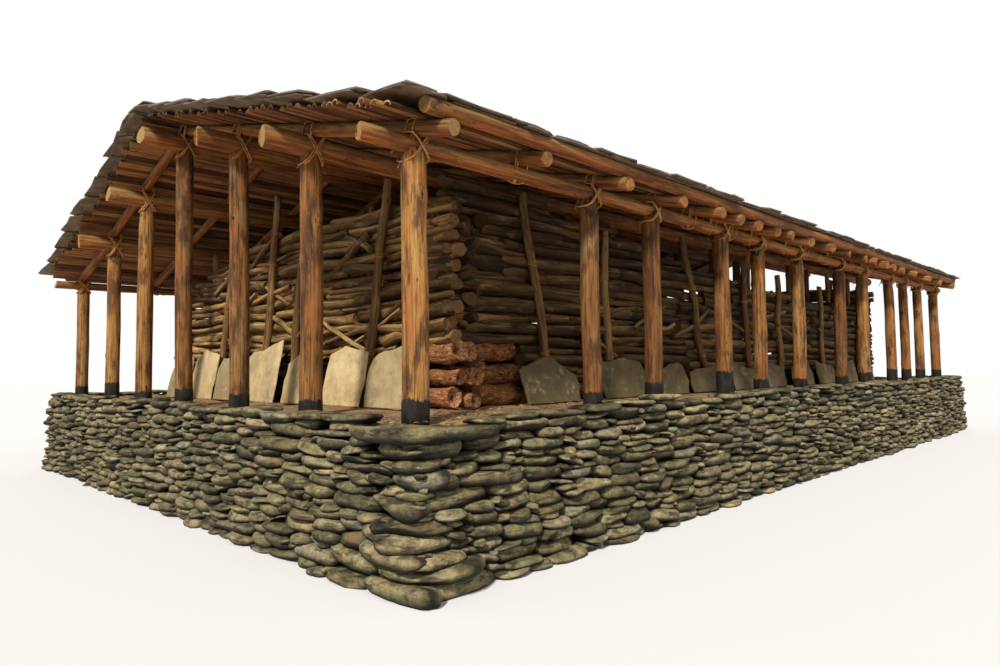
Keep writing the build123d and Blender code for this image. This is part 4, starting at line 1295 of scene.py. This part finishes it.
def fern():
    """Hairy tree-fern trunks in the near corner: two columns end on, one lying along the front."""
    rng = np.random.default_rng(23)
    shape = Shape()
    r = 0.103
    hairy = dict(pace=22.0, cut=0.04)
    for course in range(3):
        z = EARTH + r + course * FERN_STEP
        for column in range(2):
            x = WALL_X + r + column * FERN_STEP
            size = rng.uniform(0.68, 0.97)
            low = z - r * (1 - size) * 0.8
            path = crooked(rng, (x, 0.86 + rng.uniform(-0.08, 0.09), low), (x, 1.65, low), 0.02, 18)
            add_log(shape, rng, path, r * size, (1,), 22, 0.12, 10, hollow=rng.uniform(0.02, 0.06), **hairy)
        y = WALL_Y + r
        start, end = (1.45 + rng.uniform(0.0, 0.05), y, z), (2.14 - 0.12 * (course == 2), y, z)
        path = crooked(rng, start, end, 0.015, 18)
        add_log(shape, rng, path, r * rng.uniform(0.93, 1.02), (1,), 22, 0.1, 10, hollow=0.04, **hairy)
    for _ in range(7):
        x, z = rng.uniform(1.1, 1.5), EARTH + rng.uniform(0.05, 0.56)
        a = np.array([x, rng.uniform(0.84, 0.92), z])
        path = crooked(rng, a, a + [rng.uniform(-0.05, 0.1), 0.3, rng.uniform(-0.05, 0.05)], 0.01, 6)
        add_log(shape, rng, path, rng.uniform(0.03, 0.055), (1,), 14, 0.1, 2, caps=(1, 0), pace=22.0,
                cut=0.02, hollow=0.025)
    build("fern_logs", shape, FERN, ["fern_trunks"])


# Poles that hold the walls: place of the foot, place of the head, height of the head above the earth

FRONT_POLES = [(2.47, 2.144, 2.11), (3.452, 3.541, 1.9), (5.982, 5.171, 2.08), (7.166, 6.993, 1.938),
               (8.263, 8.207, 1.816), (10.097, 10.02, 1.76), (12.019, 12.141, 1.9)]
LEFT_POLES = [(2.072, 1.688, 2.182), (3.517, 3.294, 1.8), (4.313, 3.837, 2.444), (5.51, 5.118, 1.8),
              (6.76, 6.62, 1.6)]
STAKE_R = 0.047
JAMBS = [DOOR[0] - STAKE_R, DOOR[1] + STAKE_R]
DOOR_POLES = [(y, y, 2.04) for y in JAMBS]
LONG_INNER = [2.42, 3.96, 5.56, 7.6, 9.2, 11.1, 12.25]
GABLE_INNER = [2.25, 3.35, 4.75, 6.15]
RIGHT_INNER = JAMBS + GABLE_INNER[2:]


def wall_poles():
    rng = np.random.default_rng(25)
    inner_r = 0.045
    ties = Shape()
    groups = [
        ("front", 1, WALL_Y - STAKE_R, FRONT_POLES),
        ("back", 1, BACK_WALL_Y + STAKE_R, [(foot, head, 1.75) for foot, head, _ in FRONT_POLES]),
        ("left", 0, WALL_X - STAKE_R, LEFT_POLES),
        ("right", 0, LENGTH - WALL_X + STAKE_R, LEFT_POLES[:1] + LEFT_POLES[3:] + DOOR_POLES),
    ]
    for name, flat, face, poles in groups:
        shape = Shape()
        for foot, head, high in poles:
            low = np.insert([foot, EARTH - 0.01], flat, face)
            top = np.insert([head, EARTH + high], flat, face)
            path = crooked(rng, low, top, 0.11, 22, 3.2, 2)
            path[:, flat] = face + 0.25 * (path[:, flat] - face)
            add_log(shape, rng, path, STAKE_R, (1.12, 1.0, 0.95, 0.97, 0.85), 16, 0.07, 6, caps=(0, 1),
                    pace=5.0, cut=0.02)
            for share in (rng.uniform(0.2, 0.3), rng.uniform(0.5, 0.7)):
                at = path[int(share * len(path))]
                for turn in range(3):
                    t = np.linspace(0, 2 * np.pi, 12, endpoint=False)
                    z = 0.014 * np.sin(t + turn) + 0.012 * turn
                    ring = np.stack([0.053 * np.cos(t), 0.053 * np.sin(t), z], -1)
                    add_tube(ties, rng, at + ring, 0.005, closed=True)
        build(name + "_wall_stakes", shape, BARK, [name + "_wall_poles"])
    build("pole_ties", ties, VINE)
    shape = Shape()
    behind = WALL_T + inner_r
    feet = [(x, WALL_Y + behind, 2.09) for x in LONG_INNER]
    feet += [(x, BACK_WALL_Y - behind, 1.69) for x in LONG_INNER]
    feet += [(WALL_X + behind, y, 2.04) for y in GABLE_INNER]
    feet += [(LENGTH - WALL_X - behind, y, 2.04) for y in RIGHT_INNER]
    for x, y, high in feet:
        path = crooked(rng, (x, y, EARTH - 0.01), (x, y, EARTH + high), 0.014, 12, 4.0)
        add_log(shape, rng, path, inner_r, (1.05, 1, 0.95, 0.9), 10, 0.05, 4, caps=(0, 1))
    build("inner_wall_stakes", shape, BARK, ["inner_wall_poles"])


# Slabs at the wall foot: start, width, height; their forms are outlines in shares of width and height

FRONT_SLABS = [(1.95, 0.85, 0.48), (3.22, 0.88, 0.47), (4.24, 0.84, 0.4), (5.16, 0.88, 0.39),
               (6.34, 0.8, 0.37), (7.26, 0.85, 0.39), (8.38, 0.88, 0.44), (9.5, 0.85, 0.41),
               (10.62, 0.88, 0.43), (11.64, 0.84, 0.41)]
LEFT_SLABS = [(1.06, 0.74, 0.64), (1.86, 0.72, 0.62), (2.64, 0.76, 0.65), (3.56, 0.82, 0.74),
              (4.45, 0.76, 0.65), (5.26, 0.76, 0.68), (6.08, 0.78, 0.61)]
FIRST_FORMS = [
    [(0.04, 0), (0.5, 0), (0.97, 0), (1.0, 0.35), (0.98, 0.55), (0.77, 0.76), (0.52, 1.0), (0.3, 0.9),
     (0.0, 0.7), (0.01, 0.35)],
    [(0.1, 0), (0.5, 0), (1.0, 0), (0.98, 0.4), (0.9, 0.8), (0.72, 0.98), (0.4, 1.0), (0.12, 0.86),
     (0.03, 0.6), (0.0, 0.3)],
    [(0.02, 0), (0.5, 0), (0.9, 0), (1.0, 0.25), (0.94, 0.6), (0.85, 0.95), (0.5, 0.88), (0.22, 1.0),
     (0.08, 0.75), (0.0, 0.3)],
    [(0.06, 0), (0.5, 0), (0.96, 0), (0.97, 0.2), (1.0, 0.45), (0.66, 0.8), (0.28, 1.0), (0.16, 0.92),
     (0.08, 0.66), (0.0, 0.3)],
]
BROAD_FORMS = [
    [(0.02, 0), (0.5, 0), (0.97, 0), (1.0, 0.5), (0.99, 1.0), (0.72, 0.95), (0.45, 0.86), (0.14, 0.82),
     (0.0, 0.6), (0.01, 0.3)],
    [(0.03, 0), (0.5, 0), (0.98, 0), (1.0, 0.4), (0.96, 0.88), (0.7, 0.91), (0.42, 1.0), (0.3, 0.92),
     (0.06, 0.84), (0.0, 0.4)],
    [(0.0, 0), (0.5, 0), (0.95, 0), (1.0, 0.4), (0.9, 0.9), (0.8, 1.0), (0.5, 0.9), (0.3, 0.84),
     (0.06, 0.7), (0.0, 0.35)],
    [(0.02, 0), (0.5, 0), (0.98, 0), (1.0, 0.5), (0.98, 0.98), (0.75, 0.93), (0.45, 0.83), (0.18, 0.8),
     (0.03, 0.72), (0.0, 0.35)],
]


def foot_slabs():
    rng = np.random.default_rng(27)
    lean = math.radians(12)
    t = 0.03
    face = 0.0953
    left, right, front, back = WALL_X - face, LENGTH - WALL_X + face, WALL_Y - face, BACK_WALL_Y + face
    beside_door = LEFT_SLABS[:2] + LEFT_SLABS[4:]
    # The last item is each side's tones: painted light and shade, the left slabs lit, the front ones in
    # shade, the back and right between.
    groups = [
        ("front", FRONT_SLABS, lambda s, w, foot: (s, front - foot), (1, 0), (0, 1), (0.0, 0.4)),
        ("back", FRONT_SLABS, lambda s, w, foot: (LENGTH - s, back + foot), (-1, 0), (0, -1), (0.1, 0.6)),
        ("left", LEFT_SLABS, lambda s, w, foot: (left - foot, s + w), (0, -1), (1, 0), (0.6, 1.0)),
        ("right", beside_door, lambda s, w, foot: (right + foot, s), (0, 1), (-1, 0), (0.3, 0.8)),
    ]
    for name, slabs, where, along, inward, tones in groups:
        shape = Shape()
        along = np.array([*along, 0.0])
        up = np.array([*inward, 0.0]) * math.sin(lean) + np.array([0, 0, math.cos(lean)])
        for number, (start, width, high) in enumerate(slabs):
            x, y = where(start, width, high * math.sin(lean) + t / math.cos(lean) + 0.006)
            long_side = name in ("front", "back")
            if long_side and number == 0:
                corners = np.array(FIRST_FORMS[rng.integers(len(FIRST_FORMS))])
            else:
                corners = np.array(BROAD_FORMS[number % len(BROAD_FORMS)])
            if number % 3 == 1 and long_side:
                corners = (corners * [-1, 1] + [1, 0])[::-1]
            halfway = (corners + np.roll(corners, -1, 0)) / 2
            out = np.stack([corners, halfway], 1).reshape(-1, 2) * [width, high]
            wild = rng.uniform(-0.014, 0.014, out.shape)
            wild[:, 1] *= out[:, 1] > 0.05
            origin = np.array([x, y, EARTH + SEAT + t * math.sin(lean)]) - np.cross(along, up) * t
            thick = t * rng.uniform(0.85, 1.0)
            add_plate(shape, rng, out + wild, thick, origin, along, up, 0.004, rng.uniform(*tones))
        build(name + "_leaning_slabs", shape, SLAB, [name + "_foot_slabs"], False)


# Vine lashings


def add_lashing(shape, rng, middle, first, second, reach_first, reach_second, out, depth, thick):
    """Crossed turns of vine round two poles that meet at middle, with one or two loose tails."""
    first, second, out = (unit(np.asarray(p, float)) for p in (first, second, out))
    t = np.linspace(0, 2 * np.pi, 16, endpoint=False)
    c, s = np.cos(t), np.sin(t)
    grow = (np.abs(c) ** 5.0 + np.abs(s) ** 5.0) ** (-1 / 5.0)
    for way in (-1, 1):
        diagonal = first * reach_first + way * second * reach_second
        size = np.linalg.norm(diagonal)
        diagonal = diagonal / size
        across = np.cross(diagonal, out)
        for strand in (-0.5, 0.5):
            shift = strand * thick * 2.1 + rng.uniform(-0.003, 0.003)
            p = middle + np.outer(c * grow * size * rng.uniform(0.97, 1.05), diagonal)
            p = p + np.outer(s * grow * depth * rng.uniform(1.0, 1.05), out)
            p = p + np.outer(shift + 0.004 * np.sin(2 * t + phase(rng)), across)
            add_tube(shape, rng, p, thick * rng.uniform(0.85, 1.15), closed=True)
    for _ in range(rng.integers(1, 3)):
        a = middle + out * depth + first * rng.uniform(-0.4, 0.4) * reach_first
        d = unit(out * 0.6 + rng.normal(0, 0.5, 3) + np.array([0, 0, -0.4]))
        k = np.linspace(0, 1, 7)[:, None]
        tail = a + d * k * rng.uniform(0.05, 0.12) + np.array([0, 0, -1]) * k ** 2 * rng.uniform(0.01, 0.06)
        add_tube(shape, rng, tail, thick * 0.8)


def lashings():
    rng = np.random.default_rng(31)
    post_ties, rafter_ties = Shape(), Shape()
    along = (1, 0, 0)
    for line, r in enumerate(PURLIN_R):
        for x in POST_X if line in (0, 6) else [0, LENGTH]:
            middle = np.array([x, POST_Y[line], purlin_z(line) - r * 0.35])
            add_lashing(post_ties, rng, middle, (0, 0, 1), along, r + 0.035, 0.078, (0, 1, 0), 0.093, 0.007)
    for line, r in enumerate(PURLIN_R):
        down, up = slope_axes(-1 if line <= 3 else 1)
        for x in RAFTER_X if line in (0, 6) else [RAFTER_X[0], RAFTER_X[11]]:
            middle = np.array([x, POST_Y[line], purlin_z(line)]) + up * RAFTER_R
            depth = r + RAFTER_R + 0.006
            add_lashing(rafter_ties, rng, middle, down, along, r * 0.75, 0.06, up, depth, 0.006)
    build("post_lashings", post_ties, VINE)
    build("rafter_lashings", rafter_ties, VINE)


# Floor, light and camera


def stage():
    """A plain floor, a white world that lights the house softly, and two suns."""
    mesh = bpy.data.meshes.new("floor")
    mesh.from_pydata([(-90, -90, 0), (90, -90, 0), (90, 90, 0), (-90, 90, 0)], [], [(0, 1, 2, 3)])
    put("floor", mesh)
    m = Nodes("floor")
    m.bsdf.inputs["Base Color"].default_value = (0.82, 0.82, 0.83, 1)
    m.bsdf.inputs["Roughness"].default_value = 0.9
    mesh.materials.append(m.mat)
    world = bpy.data.worlds.new("studio")
    bpy.context.scene.world = world
    world.use_nodes = True
    nodes, links = world.node_tree.nodes, world.node_tree.links
    path = nodes.new("ShaderNodeLightPath")
    seen = nodes.new("ShaderNodeMath")
    seen.operation = "MAXIMUM"
    links.new(path.outputs["Is Camera Ray"], seen.inputs[0])
    links.new(path.outputs["Is Glossy Ray"], seen.inputs[1])
    mix = nodes.new("ShaderNodeMix")
    mix.data_type = "RGBA"
    mix.inputs[6].default_value = (0.3, 0.3, 0.3, 1)
    mix.inputs[7].default_value = (1, 1, 1, 1)
    links.new(seen.outputs[0], mix.inputs[0])
    links.new(mix.outputs[2], nodes["Background"].inputs["Color"])
    for name, energy, angle, turn in (("key", 4.3, 6, (52, 0, -60)), ("fill", 0.65, 50, (66, 0, -12))):
        data = bpy.data.lights.new(name, "SUN")
        data.energy = energy
        data.angle = math.radians(angle)
        data.color = (1.0, 0.955, 0.88)
        put(name, data).rotation_euler = [math.radians(a) for a in turn]


def camera():
    """The photo's camera: focal length in pixels of a frame 1000 wide, and its three turns."""
    focal, yaw, pitch, roll = 684.9, math.radians(44.81), math.radians(2.88), math.radians(-0.79)
    ahead = np.array([math.cos(yaw) * math.cos(pitch), math.sin(yaw) * math.cos(pitch), math.sin(pitch)])
    level = np.array([math.sin(yaw), -math.cos(yaw), 0])
    upright = np.cross(level, ahead)
    right = math.cos(roll) * level + math.sin(roll) * upright
    up = -math.sin(roll) * level + math.cos(roll) * upright
    eye = np.array([-2.884, -3.678, EARTH + 0.359]) - SHIFT
    data = bpy.data.cameras.new("camera")
    data.sensor_width = 36
    data.lens = focal * 36 / 1000
    data.clip_end = 300
    cam = put("camera", data)
    cam.matrix_world = Matrix([[right[i], up[i], -ahead[i], eye[i]] for i in range(3)] + [[0, 0, 0, 1]])
    bpy.context.scene.camera = cam


platform()
posts()
purlins()
rafters()
eave_poles()
strips()
slates()
log_walls()
fern()
wall_poles()
foot_slabs()
lashings()
stage()
camera()
bpy.context.scene.view_settings.view_transform = "Standard"
